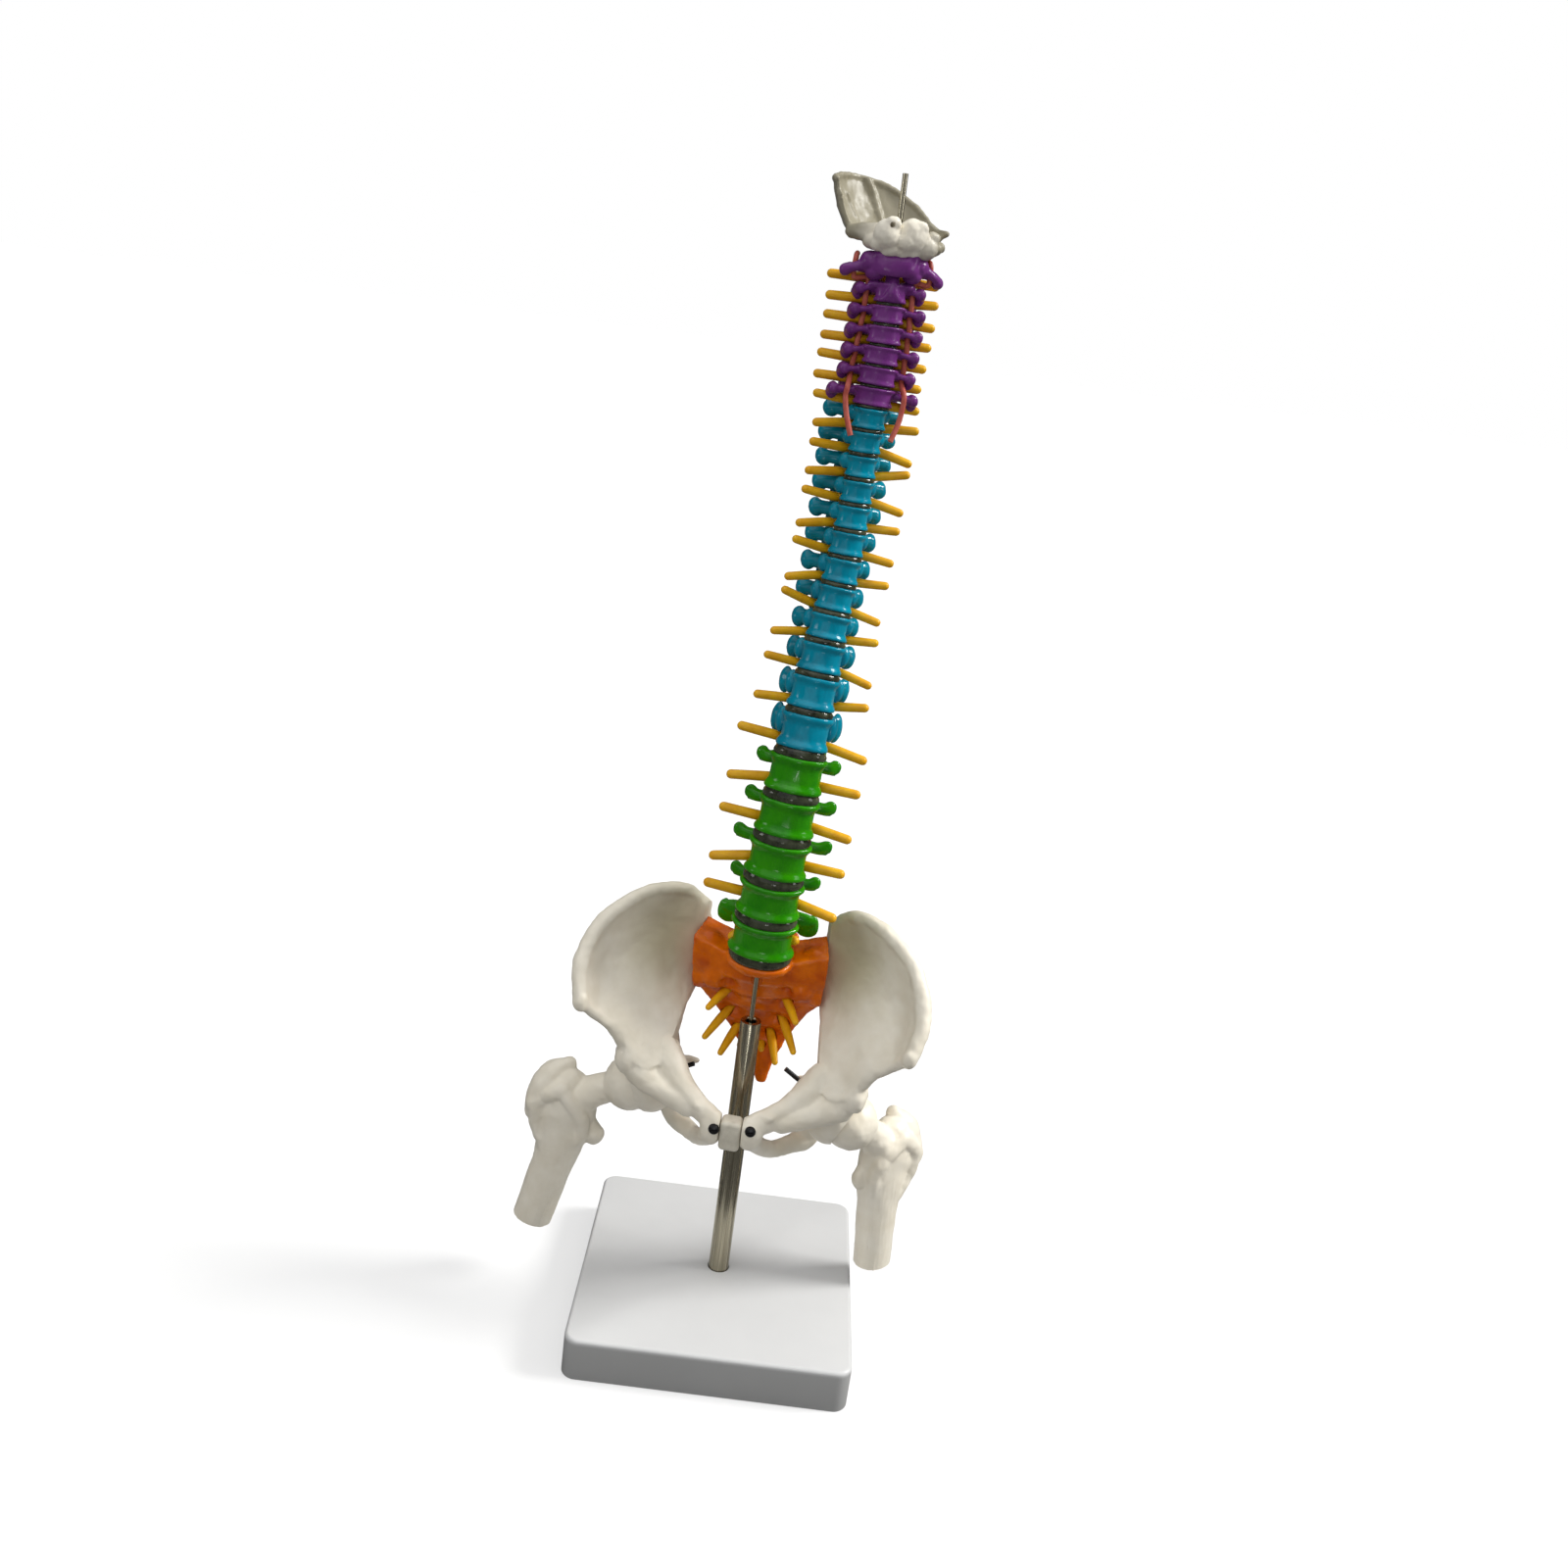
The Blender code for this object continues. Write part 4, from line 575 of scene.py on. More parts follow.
def cervical_vertebra(bm, s, level):
    """Small body with side lips, processes with holes and a forked spine."""
    add_body(bm, s, waist=0.90)
    add_arch(bm, s, 0.15 * s.pitch, 0.34 * s.pitch, 0.50 * s.pitch)
    neck_process(bm, s)
    top = (0.10 if level == C2 else 0.50) * s.pitch
    add_articular(bm, s.canal_width / 2 + 3.2, s.canal_y + 3.6, top, -0.50 * s.pitch, 3.0, 1.15, 0.0,
                  3.3)
    tube_pair(bm, [(s.width / 2 - 0.5, -1.2, s.height / 2 - 0.8, 0.7, 0.8),
                   (s.width / 2 - 0.5, 1.2, s.height / 2 - 0.8, 0.7, 0.75)])
    length, fork = (13.0, 0.3) if level == C7 else (7.0, 1.7)
    start = s.arch_y + 1.2
    tube_pair(bm, [(0.0, start, -0.10 * s.pitch, 1.2, 1.4),
                   (fork * 0.3, start + length * 0.5, -0.22 * s.pitch, 1.0, 1.2),
                   (fork, start + length, -0.40 * s.pitch, 1.0, 1.1)])


def axis_vertebra(bm, s, level):
    """Second neck vertebra: shoulders, a keel in front and the upright peg."""
    s.reach -= AXIS_NARROWING
    cervical_vertebra(bm, s, level)
    top = s.height / 2
    tube(bm, [(0.0, 0.0, 0.0, 3.2, 3.0), (0.0, 0.0, top + 1.5, 2.5, 2.5),
              (0.0, 0.3, top + 7.4, 2.1, 2.1)])
    tube(bm, [(0.0, -s.depth * 0.40, -top + 1.2, 3.6, 1.3), (0.0, -s.depth * 0.42, 0.4, 2.2, 1.6),
              (0.0, -s.depth * 0.22, top + 1.0, 1.4, 1.5)])
    ball_pair(bm, 5.6, 1.6, top - 0.8, 3.4, 3.6, 1.9)


def atlas_vertebra(bm, s):
    """Top neck vertebra: a ring with heavy side masses and wide, drooping processes."""
    tube_pair(bm, ATLAS_FRONT, UPWARD)
    for row in ATLAS_BALLS:
        ball_pair(bm, *row)
    for side, droop in ATLAS_DROOP:
        rows = [(9.2, 1.0, 0.3, 2.8, 2.8), (ATLAS_HOLE.x, 2.0, ATLAS_HOLE.z + 0.1, 3.5, 2.0),
                (s.reach - 1.7, 2.8, -droop, 2.4, 2.1)]
        tube(bm, sided(side, rows), side=UPWARD)
    back = s.arch_y + 3.0
    tube_pair(bm, [(9.0, 3.6, 0.4, 1.3, 1.9), (8.2, back - 5.0, 0.4, 1.1, 1.7),
                   (4.4, back - 1.4, 0.4, 1.1, 1.8), (0.0, back, 0.4, 1.3, 2.0)], (1.0, 0.4, 0.0))


def wire_points(frames, top):
    """Middle of the wire from the pole to the free end above the occiput."""
    points = [COLUMN_START - Vector((0, 0, 1.5))]
    for low, high in zip(frames, frames[1:]):
        points.append((low.translation + high.translation) / 2)
    rise = (top - frames[-1].translation).normalized()
    points.append(top)
    points.append(top + rise * WIRE_ABOVE_OCCIPUT)
    return points


def pelvis_turn():
    """Turn of the pelvis about the pole."""
    return Matrix.Rotation(math.radians(PELVIS_YAW), 4, "Z")


def sacrum_top_frame():
    """Frame on the upper face of the sacrum."""
    turn = rotation(S1_TILT, 0.0, PELVIS_YAW)
    centre = COLUMN_START - turn.to_3x3() @ Vector((0, 0, keyed(DISC_SPACE, 0) / 2))
    return Matrix.Translation(centre) @ turn


def canal_points(frames, top):
    """Middle of the cord from the sacrum to the skull, with its radius."""
    rows = [(0.0, 25.0, 123.0, 1.7), (0.0, 25.0, 140.0, 2.0), (0.0, 21.0, 152.0, 2.2),
            (0.0, 15.5, 163.0, 2.4)]
    turn = pelvis_turn()
    points = [(turn @ Vector(row[:3]), row[3]) for row in rows]
    for level, frame in enumerate(frames):
        points.append((frame @ Vector((0, level_sizes(level).canal_y, 0)),
                       keyed(CORD_RADIUS, level)))
    lift = frames[-1].to_3x3() @ Vector((0, level_sizes(C1).canal_y, 9.0))
    points.append((frames[-1].translation + lift, keyed(CORD_RADIUS, C1)))
    return points


def nerve_pair(frame, level):
    """Rows of one pair of nerve stubs, from tip to tip through the cord."""
    s = level_sizes(level)
    radius = keyed(NERVE_RADIUS, level)
    z = -keyed(NERVE_HEIGHT, level) * s.pitch
    reach = keyed(NERVE_REACH, level)
    front = s.back - (1.0 if level < C7 else -1.8)
    if level == C1:
        z, front = -0.42 * s.pitch, s.canal_y + 0.5
    bend_y = s.canal_y + (0.5 if level == C1 else -1.9)
    rows = []
    for side in (-1, 1):
        drop = NERVE_DROP[(level * 3 + (side > 0)) % len(NERVE_DROP)] * keyed(NERVE_DROP_SCALE, level)
        bend = (side * (s.canal_width / 2 + 2.5), bend_y, z, radius, radius)
        tip = (side * reach + keyed(NERVE_SHIFT, level), front, z + drop, radius * 0.9, radius * 0.9)
        rows.append([tip, bend])
    rows = rows[0] + [(0, s.canal_y, z, radius, radius)] + rows[1][::-1]
    return [(*(frame @ Vector(row[:3])), row[3], row[4]) for row in rows]


def sacral_nerve(root, tip, side):
    """Rows of one nerve that leaves the cord in the sacrum and tapers to its tip in front."""
    turn = pelvis_turn()
    start, end = Vector((0.0, *root)), Vector((side * tip[0], *tip[1:]))
    rows = []
    for share, deep, radius in SACRAL_NERVE_TAPER:
        point = start.lerp(end, share) + Vector((0.0, deep, 0.0))
        rows.append((*(turn @ point), radius, radius))
    return rows


def artery_keys(frames, side):
    """Rows of one artery, from its lower end up through the holes to the skull."""
    rows = [(T1, (7.4, -6.6, -6.5)), (T1, (9.6, -5.0, 0.0)),
            (C7, (10.6, -3.4, -1.6)), (C7, (10.4, -3.0, 2.0))]
    for level in range(C7 + 1, C1 + 1):
        hole = ATLAS_HOLE if level == C1 else artery_hole(level_sizes(level))
        low, high = {C2: (-2.0, 3.1), C1: (-3.3, 3.2)}.get(level, (-2.0, 2.0))
        rows += [(level, (hole.x, hole.y, hole.z + rise)) for rise in (low, high)]
    rows.append((C1, (ATLAS_HOLE.x - 0.8, ATLAS_HOLE.y + 3.0, ATLAS_HOLE.z + 4.6)))
    return [(*(frames[level] @ Vector((side * x, y, z))), ARTERY_RADIUS, ARTERY_RADIUS)
            for level, (x, y, z) in rows]


def joint_plane_box(side, inner):
    """Box on the inner or the outer side of the sacroiliac joint."""
    turn = Matrix.Translation((side * SACROILIAC_X, 0, 0))
    turn @= Matrix.Rotation(math.radians(side * SACROILIAC_SLOPE), 4, "Z")
    far = 90.0
    if inner:
        low, high = (-SACROILIAC_X, -8.0, 124.0), (SACROILIAC_GAP, far, 220.0)
    else:
        low, high = (-SACROILIAC_GAP, -far, 40.0), (far, far, 220.0)
    if side < 0:
        low, high = (-high[0], low[1], low[2]), (-low[0], high[1], high[2])
    return box(low, high, turn)


def sacrum_shape(bm):
    """Wedge of fused vertebrae with two wings, a crest behind and a curled tail."""
    top = sacrum_top_frame()
    back = pelvis_turn().inverted() @ top
    s = level_sizes(0)
    rings = [[back @ p for p in body_ring(s.width * k, s.depth * k, z)]
             for z, k in ((0.0, 0.955), (-1.2, 1.0), (-4.0, 0.94))]
    loft(bm, rings)
    sheet(bm, [[(x + reach * k, y + (y_side - y) * abs(k), z + (z_side - z) * abs(k),
                 thick + (thin - thick) * abs(k)) for k in (-1.0, -0.5, 0.0, 0.5, 1.0)]
               for x, reach, y, z, y_side, z_side, thick, thin in SACRUM_ROWS])
    tube_pair(bm, [(10.5, 18, 160, 2.6, 2.6), (11.5, 21.0, 167.5, 2.2, 2.0)])
    for row in SACRUM_BALLS:
        ball_pair(bm, *row)
    tube(bm, [(0, 24.5, 164, 2.6, 2.6), (0, 29.5, 153, 3.0, 2.6), (0.6, 30.5, 140, 2.6, 2.6),
              (1.8, 27.0, 126, 2.0, 2.0)])


def side_name(name, side):
    """Name of a paired piece; the body's left is on +X."""
    return name + ("_left" if side > 0 else "_right")


def hip_shape(bm, side):
    """Hip bone: curved wing, socket mass, two rami round the lower opening."""
    sheet(bm, [sided(side, row) for row in HIP_WING])
    lip = [(x, y, z - 0.6, r, r) for (x, y, z, _), r in zip(HIP_WING[0], HIP_LIP)]
    for across, rows in ((UPWARD, lip), (UPWARD, [(*row, 2.4, 2.4) for row in HIP_EDGE]),
                         ((0.6, -0.7, 0.0), [(x, y + 0.5, z, 2.2, 2.0) for x, y, z in HIP_LINE]),
                         *HIP_TUBES):
        tube(bm, sided(side, rows), side=(side * across[0], *across[1:]))
    for row in HIP_BALLS:
        ball(bm, (side * row[0], *row[1:3]), row[3:])


def femur_shape(bm, side):
    """Upper half of a thigh bone; the origin is the middle of the head."""
    ball(bm, (0, 0, 0), (HEAD_RADIUS, HEAD_RADIUS, HEAD_RADIUS))
    peg = FEMUR_PEG[side]
    shaft = [(19, 0, -FEMUR_END[side] - 8, 8.4, 7.4), *FEMUR_SHAFT]
    knob = [(11, 1.0, -29.5, 5.0 * peg, 6.6), (6.6 + 3.4 * (1 - peg), 0.5, -30.5, 4.0 * peg, 4.8)]
    for across, rows in ((SIDEWAYS, shaft), (UPWARD, knob), *FEMUR_TUBES):
        tube(bm, sided(side, rows), side=across)
    for row in FEMUR_BALLS:
        ball(bm, (side * row[0], *row[1:3]), row[3:])


def bowl_point(around, down, depth=0.0):
    """Point on the skull bowl at an angle from the middle of its back and a share of its fall."""
    turn = math.radians(around)
    fall = math.cos(math.radians(84 * down))
    rim = keyed(OCCIPUT_RIM, 21.0 * math.sin(turn))
    wide = 21.0 - depth
    return ((wide * math.sin(turn) * fall ** 0.34, 8.0 + (wide + 1.0) * math.cos(turn) * fall ** 0.5,
             rim - (rim - 3.6 - depth) * (1.0 - fall ** 1.4) ** 0.9))


def occiput_shape(bm):
    """Back of the skull: condyles, lumpy block in front of the great hole, bowl behind."""
    for centre, radii in OCCIPUT_LUMPS:
        ball(bm, centre, radii)
    ball_pair(bm, 8.2, 1.6, 3.4, 3.4, 6.2, 3.0)
    tube_pair(bm, [(4.6, -1.5, 6.0, 3.0, 3.4), (9.6, 3.6, 6.0, 2.8, 3.2), (14.0, 8.6, 6.0, 2.4, 2.6)],
              UPWARD)
    sheet(bm, [[(*bowl_point(-86 + 23 * k, down), 1.2 + 1.2 * down) for k in range(9)]
               for down in (0.0, 0.3, 0.58, 0.82, 1.0)])
    for around, span, size in ((4, (0.12, 0.95), 1.5), (-38, (0.45, 0.95), 1.0)):
        keys = [(*bowl_point(around + 26 * (share - 0.5), share, 0.6), size, size)
                for share in np.linspace(*span, 6)]
        tube(bm, keys, side=(1.0, 0.3, 0.0))
    tube(bm, [(*bowl_point(around, 0.02), 1.25, 1.25)
              for around in (-84, -70, -50, -25, 0, 25, 50, 75, 98)], side=(0.0, 0.0, 1.0))


# Kind of shader socket for a value of one, three or four numbers
SOCKETS = {1: "NodeSocketFloat", 3: "NodeSocketVector", 4: "NodeSocketColor"}
PLAIN_COLOUR = (0.8, 0.8, 0.8, 1.0)


def fill(tree, node, inputs):
    """Give each named input of a node a link to a socket or a plain value."""
    for title, value in inputs.items():
        if isinstance(value, bpy.types.NodeSocket):
            tree.links.new(value, node.inputs[title])
        else:
            node.inputs[title].default_value = value


def add_node(tree, kind, inputs, **settings):
    """Node of a kind with its settings and filled inputs; returns its outputs."""
    node = tree.nodes.new(kind)
    for title, value in settings.items():
        setattr(node, title, value)
    fill(tree, node, inputs)
    return node.outputs


def open_group(name, inputs):
    """Shader node group with named inputs and their defaults; returns it and its sockets."""
    group = bpy.data.node_groups.new(name, "ShaderNodeTree")
    for title, default in inputs.items():
        size = len(default) if isinstance(default, tuple) else 1
        socket = group.interface.new_socket(title, in_out="INPUT", socket_type=SOCKETS[size])
        socket.default_value = default
    return group, group.nodes.new("NodeGroupInput").outputs


def close_group(group, results):
    """Give a shader node group its named outputs."""
    for title in results:
        group.interface.new_socket(title, in_out="OUTPUT",
                                   socket_type=SOCKETS[4 if title == "Colour" else 1])
    fill(group, group.nodes.new("NodeGroupOutput"), results)
    return group


def object_place(tree):
    """Object coordinates."""
    return add_node(tree, "ShaderNodeTexCoord", {})["Object"]


def blend(tree, factor, low, high, kind="MIX"):
    """Colour between two colours."""
    return add_node(tree, "ShaderNodeMix", {"Factor": factor, "A": low, "B": high},
                    data_type="RGBA", blend_type=kind)["Result"]


def map_range(tree, value, low, high, to_low, to_high, **settings):
    """Map Range node; each bound is a number or a socket."""
    inputs = {"Value": value, "From Min": low, "From Max": high, "To Min": to_low, "To Max": to_high}
    return add_node(tree, "ShaderNodeMapRange", inputs, **settings)["Result"]


def noise(tree, vector, scale, detail, roughness=0.5):
    """Noise texture value in object space."""
    inputs = {"Vector": vector, "Scale": scale, "Detail": detail, "Roughness": roughness}
    return add_node(tree, "ShaderNodeTexNoise", inputs)["Fac"]


def moulded_group():
    """Painted or moulded plastic: clouded colour, uneven gloss and fine grain."""
    group, given = open_group("moulded_surface", {
        "Light": PLAIN_COLOUR, "Dark": PLAIN_COLOUR, "Cloud Scale": 120.0, "Grain Scale": GRAIN_SCALE,
        "Gloss Low": 0.3, "Gloss High": 0.45})
    where = object_place(group)
    cloud = noise(group, where, given["Cloud Scale"], 4.0, 0.6)
    grain = noise(group, where, given["Grain Scale"], 2.0)
    height = add_node(group, "ShaderNodeMath", {0: grain, 1: GRAIN_SHARE, 2: cloud},
                      operation="MULTIPLY_ADD")["Value"]
    return close_group(group, {
        "Colour": blend(group, map_range(group, cloud, 0.32, 0.68, 0.0, 1.0), given["Dark"],
                        given["Light"]),
        "Roughness": map_range(group, cloud, 0.3, 0.7, given["Gloss High"], given["Gloss Low"]),
        "Height": height})


def painted_shade_group():
    """Painted shade: a deeper tone that fades in round a place, standing in for shade."""
    group, given = open_group("placed_tone", {
        "Colour": PLAIN_COLOUR, "Tone": PLAIN_COLOUR, "Middle": (0.0, 0.0, 0.0),
        "Weights": (1.0, 1.0, 1.0), "Inner": 0.01, "Outer": 0.03})
    split = add_node(group, "ShaderNodeSeparateXYZ", {0: object_place(group)})
    outward = add_node(group, "ShaderNodeMath", {0: split["X"]}, operation="ABSOLUTE")["Value"]
    place = add_node(group, "ShaderNodeCombineXYZ", {"X": outward, "Y": split["Y"], "Z": split["Z"]})
    away = add_node(group, "ShaderNodeVectorMath", {0: place["Vector"], 1: given["Middle"]},
                    operation="SUBTRACT")["Vector"]
    away = add_node(group, "ShaderNodeVectorMath", {0: away, 1: given["Weights"]},
                    operation="MULTIPLY")["Vector"]
    size = add_node(group, "ShaderNodeVectorMath", {0: away}, operation="LENGTH")["Value"]
    fade = map_range(group, size, given["Inner"], given["Outer"], 1.0, 0.0,
                     interpolation_type="SMOOTHSTEP")
    return close_group(group, {
        "Colour": blend(group, fade, given["Colour"], given["Tone"], "MULTIPLY")})


def drawn_metal_group():
    """Drawn metal: long streaks along the length that change gloss and height."""
    group, given = open_group("drawn_metal", {
        "Light": PLAIN_COLOUR, "Dark": PLAIN_COLOUR, "Streak Scale": 2500.0, "Gloss Low": 0.2,
        "Gloss High": 0.35})
    stretched = add_node(group, "ShaderNodeMapping",
                         {"Vector": object_place(group), "Scale": STREAK_STRETCH})["Vector"]
    streak = noise(group, stretched, given["Streak Scale"], 3.0)
    return close_group(group, {
        "Colour": blend(group, map_range(group, streak, 0.3, 0.7, 0.0, 1.0), given["Dark"],
                        given["Light"]),
        "Roughness": map_range(group, streak, 0.3, 0.7, given["Gloss Low"], given["Gloss High"]),
        "Height": streak})


GRAIN_SCALE = 1500.0
GRAIN_SHARE = 0.35
STREAK_STRETCH = (1.0, 1.0, 0.01)
BUMP_DEPTH = 0.00012
PLASTIC_SHINE, METAL_SHINE = 0.30, 0.5
SKULL_BACK = 0.041
# Look: record slot, light colour, dark colour, scale of its clouds or streaks, low and high
# roughness, bump, metallic, transmission
LOOKS = {
    "cervical": ("cervical_plastic", (0.222, 0.048, 0.268), (0.152, 0.025, 0.190),
                 130, 0.20, 0.32, 0.14, 0, 0),
    "thoracic": ("thoracic_plastic", (0.000, 0.305, 0.445), (0.000, 0.220, 0.332),
                 130, 0.14, 0.24, 0.14, 0, 0),
    "lumbar": ("lumbar_plastic", (0.036, 0.325, 0.001), (0.015, 0.238, 0.000),
               130, 0.14, 0.24, 0.14, 0, 0),
    "sacrum": ("sacrum_plastic", (0.880, 0.190, 0.001), (0.600, 0.090, 0.000),
               130, 0.20, 0.34, 0.16, 0, 0),
    "bone": ("bone_plastic", (0.950, 0.895, 0.770), (0.870, 0.805, 0.665),
             90, 0.30, 0.44, 0.16, 0, 0),
    "skull": ("bone_plastic", (0.940, 0.890, 0.770), (0.860, 0.800, 0.670),
              90, 0.30, 0.44, 0.20, 0, 0),
    "hip": ("bone_plastic", (0.950, 0.895, 0.770), (0.870, 0.805, 0.665),
            90, 0.30, 0.44, 0.16, 0, 0),
    "nerve": ("nerve_plastic", (0.950, 0.530, 0.014), (0.820, 0.380, 0.004),
              180, 0.24, 0.38, 0.14, 0, 0),
    "artery": ("artery_plastic", (0.600, 0.150, 0.110), (0.430, 0.070, 0.050),
               200, 0.26, 0.40, 0.14, 0, 0),
    "disc": ("disc_plastic", (0.110, 0.125, 0.075), (0.018, 0.022, 0.012),
             200, 0.04, 0.12, 0.40, 0, 0.30),
    "cushion": ("cushion_plastic", (0.760, 0.720, 0.610), (0.600, 0.560, 0.460),
                200, 0.36, 0.52, 0.25, 0, 0),
    "base": ("base_plastic", (0.650, 0.653, 0.653), (0.624, 0.627, 0.627),
             30, 0.30, 0.42, 0.04, 0, 0),
    "pole_steel": ("steel", (0.520, 0.480, 0.370), (0.240, 0.215, 0.150),
                   2500, 0.16, 0.30, 0.10, 1, 0),
    "screw": ("steel", (0.060, 0.060, 0.062), (0.025, 0.025, 0.027),
              3500, 0.28, 0.42, 0.10, 1, 0),
}
# Painted shade laid over a look, darkening it round a place: middle (x counts as its size), axis
# weights, inner and outer reach in metres, tone
PAINTED_SHADES = {
    # painted shade in the upper hollow of each hip wing
    "hip": ((0.033, 0.004, 0.167), (1.0, 1.0, 0.85), 0.004, 0.030, (0.60, 0.575, 0.46)),
    # painted shade inside the skull bowl, behind the wire
    "skull": ((0.0, SKULL_BACK, 0.0), (0.0, 1.0, 0.0), 0.029, 0.036, (0.38, 0.37, 0.315)),
    # painted shade on the sides of the base, below its top
    "base": ((0.0, 0.0, 0.0), (0.0, 0.0, 1.0), 0.0158, 0.0178, (0.66, 0.66, 0.655)),
}


def make_materials():
    """One procedural material for every look in the table."""
    groups = {False: moulded_group(), True: drawn_metal_group()}
    painted_shade_nodes = painted_shade_group()
    for name, (_, light, dark, scale, low, high, bump, metallic, transmission) in LOOKS.items():
        made = bpy.data.materials.new(name)
        made.use_nodes = True
        tree = made.node_tree
        inputs = {"Light": (*light, 1.0), "Dark": (*dark, 1.0), "Gloss Low": low, "Gloss High": high,
                  "Streak Scale" if metallic else "Cloud Scale": scale}
        surface = add_node(tree, "ShaderNodeGroup", inputs, node_tree=groups[bool(metallic)])
        colour = surface["Colour"]
        # painted shade: a darker tone multiplied into the colour where the table places it
        if name in PAINTED_SHADES:
            middle, weights, inner, outer, tone = PAINTED_SHADES[name]
            inputs = {"Colour": colour, "Tone": (*tone, 1.0), "Middle": middle, "Weights": weights,
                      "Inner": inner, "Outer": outer}
            colour = add_node(tree, "ShaderNodeGroup", inputs, node_tree=painted_shade_nodes)["Colour"]
        relief = add_node(tree, "ShaderNodeBump", {"Strength": bump, "Distance": BUMP_DEPTH,
                                                   "Height": surface["Height"]})
        fill(tree, tree.nodes["Principled BSDF"], {
            "Base Color": colour, "Roughness": surface["Roughness"], "Normal": relief["Normal"],
            "Metallic": metallic, "Transmission Weight": transmission,
            "Specular IOR Level": METAL_SHINE if metallic else PLASTIC_SHINE})


def look(name):
    """Material of a look, made with the others the first time."""
    if name not in bpy.data.materials:
        make_materials()
    return bpy.data.materials[name]


def roughen(obj, amount, size):
    """Push the skin in and out by slow noise, as a hand-made mould leaves it."""
    mesh = obj.data
    moved = [vertex.co + vertex.normal * amount
             * (fractal.noise(vertex.co / size) + 0.5 * fractal.noise(vertex.co * 2.6 / size))
             for vertex in mesh.vertices]
    for vertex, place in zip(mesh.vertices, moved):
        vertex.co = place


def carve_sacrum(obj):
    """Cross ridges and pitted nerve openings on the front of the sacrum."""
    moved = []
    for vertex in obj.data.vertices:
        x, _, z = vertex.co
        push = 0.0
        if vertex.normal.y < -0.15 and z < 160.0:
            for ridge_z, half in SACRUM_RIDGES:
                fade = max(0.0, 1.0 - (x / half) ** 2)
                push += 0.8 * fade * math.exp(-((z - ridge_z) / 1.3) ** 2)
                for side in (-1, 1):
                    gap = ((x - side * half * 0.78) / 2.6) ** 2 + ((z - ridge_z + 4.2) / 2.0) ** 2
                    push -= 3.0 * math.exp(-gap)
        moved.append(vertex.co + vertex.normal * push)
    for vertex, place in zip(obj.data.vertices, moved):
        vertex.co = place


def open_edges(obj):
    """Number of edges without exactly two faces."""
    bm = bmesh.new()
    bm.from_mesh(obj.data)
    count = sum(1 for edge in bm.edges if len(edge.link_faces) != 2)
    bm.free()
    return count


def settle(obj, name, colour, place=Matrix.Identity(4), nodes=(), body="frame"):
    """Put a finished piece's place into its mesh, colour it and hand it to its body."""
    weld(obj)
    if open_edges(obj):
        raise RuntimeError("%s is not closed" % name)
    obj.name = name
    obj.data.name = name
    obj.data.transform(Matrix.Scale(MM, 4) @ place)
    obj.data.materials.clear()
    obj.data.materials.append(look(colour))
    obj.data.shade_smooth()
    obj.data.set_sharp_from_angle(angle=SHARP_ANGLE)
    if nodes:
        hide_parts(*nodes)
    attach(obj, body)
    return obj


def build_vertebra(level, frame_here, shape):
    """One vertebra with its holes, standing for its solid."""
    s = level_sizes(level)
    bm = bmesh.new()
    if level == C1:
        atlas_vertebra(bm, s)
    elif level == C2:
        axis_vertebra(bm, s, level)
    elif level >= C7:
        cervical_vertebra(bm, s, level)
    elif level >= T12:
        thoracic_vertebra(bm, s, level)
    else:
        lumbar_vertebra(bm, s, level)
    obj = new_object("vertebra", bm)
    melt(obj, shape.small_step / MM, shape.soften, shape.vertebra_faces)
    roughen(obj, *WAVES["vertebra"])
    far = s.pitch * 2
    if level < C1:
        combine(obj, rod((0, 0, -far), (0, 0, far), WIRE_RADIUS + WIRE_CLEARANCE, sides=24))
    if level > C7:
        for side in (-1, 1):
            x, y = (ATLAS_HOLE if level == C1 else artery_hole(s)).xy
            combine(obj, rod((side * x, y, -6), (side * x, y, 6), ARTERY_RADIUS + ARTERY_CLEARANCE, 24))
    colours = {"L": "lumbar", "T": "thoracic", "C": "cervical"}
    name = "vertebra_" + LEVELS[level]
    settle(obj, name + "_skin", colours[LEVELS[level][0]], frame_here, [name])


def build_disc(level, frames):
    """Pad between a vertebra and the one above it; level -1 lies on the sacrum."""
    upper = frames[level + 1]
    s_up = level_sizes(level + 1)
    if level < 0:
        lower, s_low = sacrum_top_frame(), s_up
        low_z = 0.0
    else:
        lower, s_low = frames[level], level_sizes(level)
        low_z = s_low.height / 2
    scale = (DISC_INSET if level < C7 else 0.8) * 0.955
    rings = []
    for turn, s, z in ((lower, s_low, low_z + DISC_GAP), (upper, s_up, -s_up.height / 2 - DISC_GAP)):
        rings.append([turn @ point for point in body_ring(s.width * scale, s.depth * scale, z)])
    centre = sum(rings[0] + rings[1], Vector()) / (2 * len(rings[0]))
    layers = []
    for rise, bulge in DISC_PROFILE:
        ring = [low.lerp(high, rise) for low, high in zip(*rings)]
        middle = sum(ring, Vector()) / len(ring)
        layers.append([middle + (point - middle) * bulge for point in ring])
    bm = bmesh.new()
    loft(bm, layers)
    obj = new_object("disc", bm)
    foot = lower @ Vector((0, 0, low_z))
    head = upper @ Vector((0, 0, -s_up.height / 2))
    radius = (WIRE_RADIUS if level >= 0 else FERRULE_RADIUS) + WIRE_CLEARANCE
    combine(obj, rod(foot - (head - foot) * 2, head + (head - foot) * 2, radius, sides=24))
    name = "disc_%s_%s" % (LEVELS[level + 1], LEVELS[level] if level >= 0 else "S1")
    settle(obj, name + "_skin", "disc", nodes=[name])


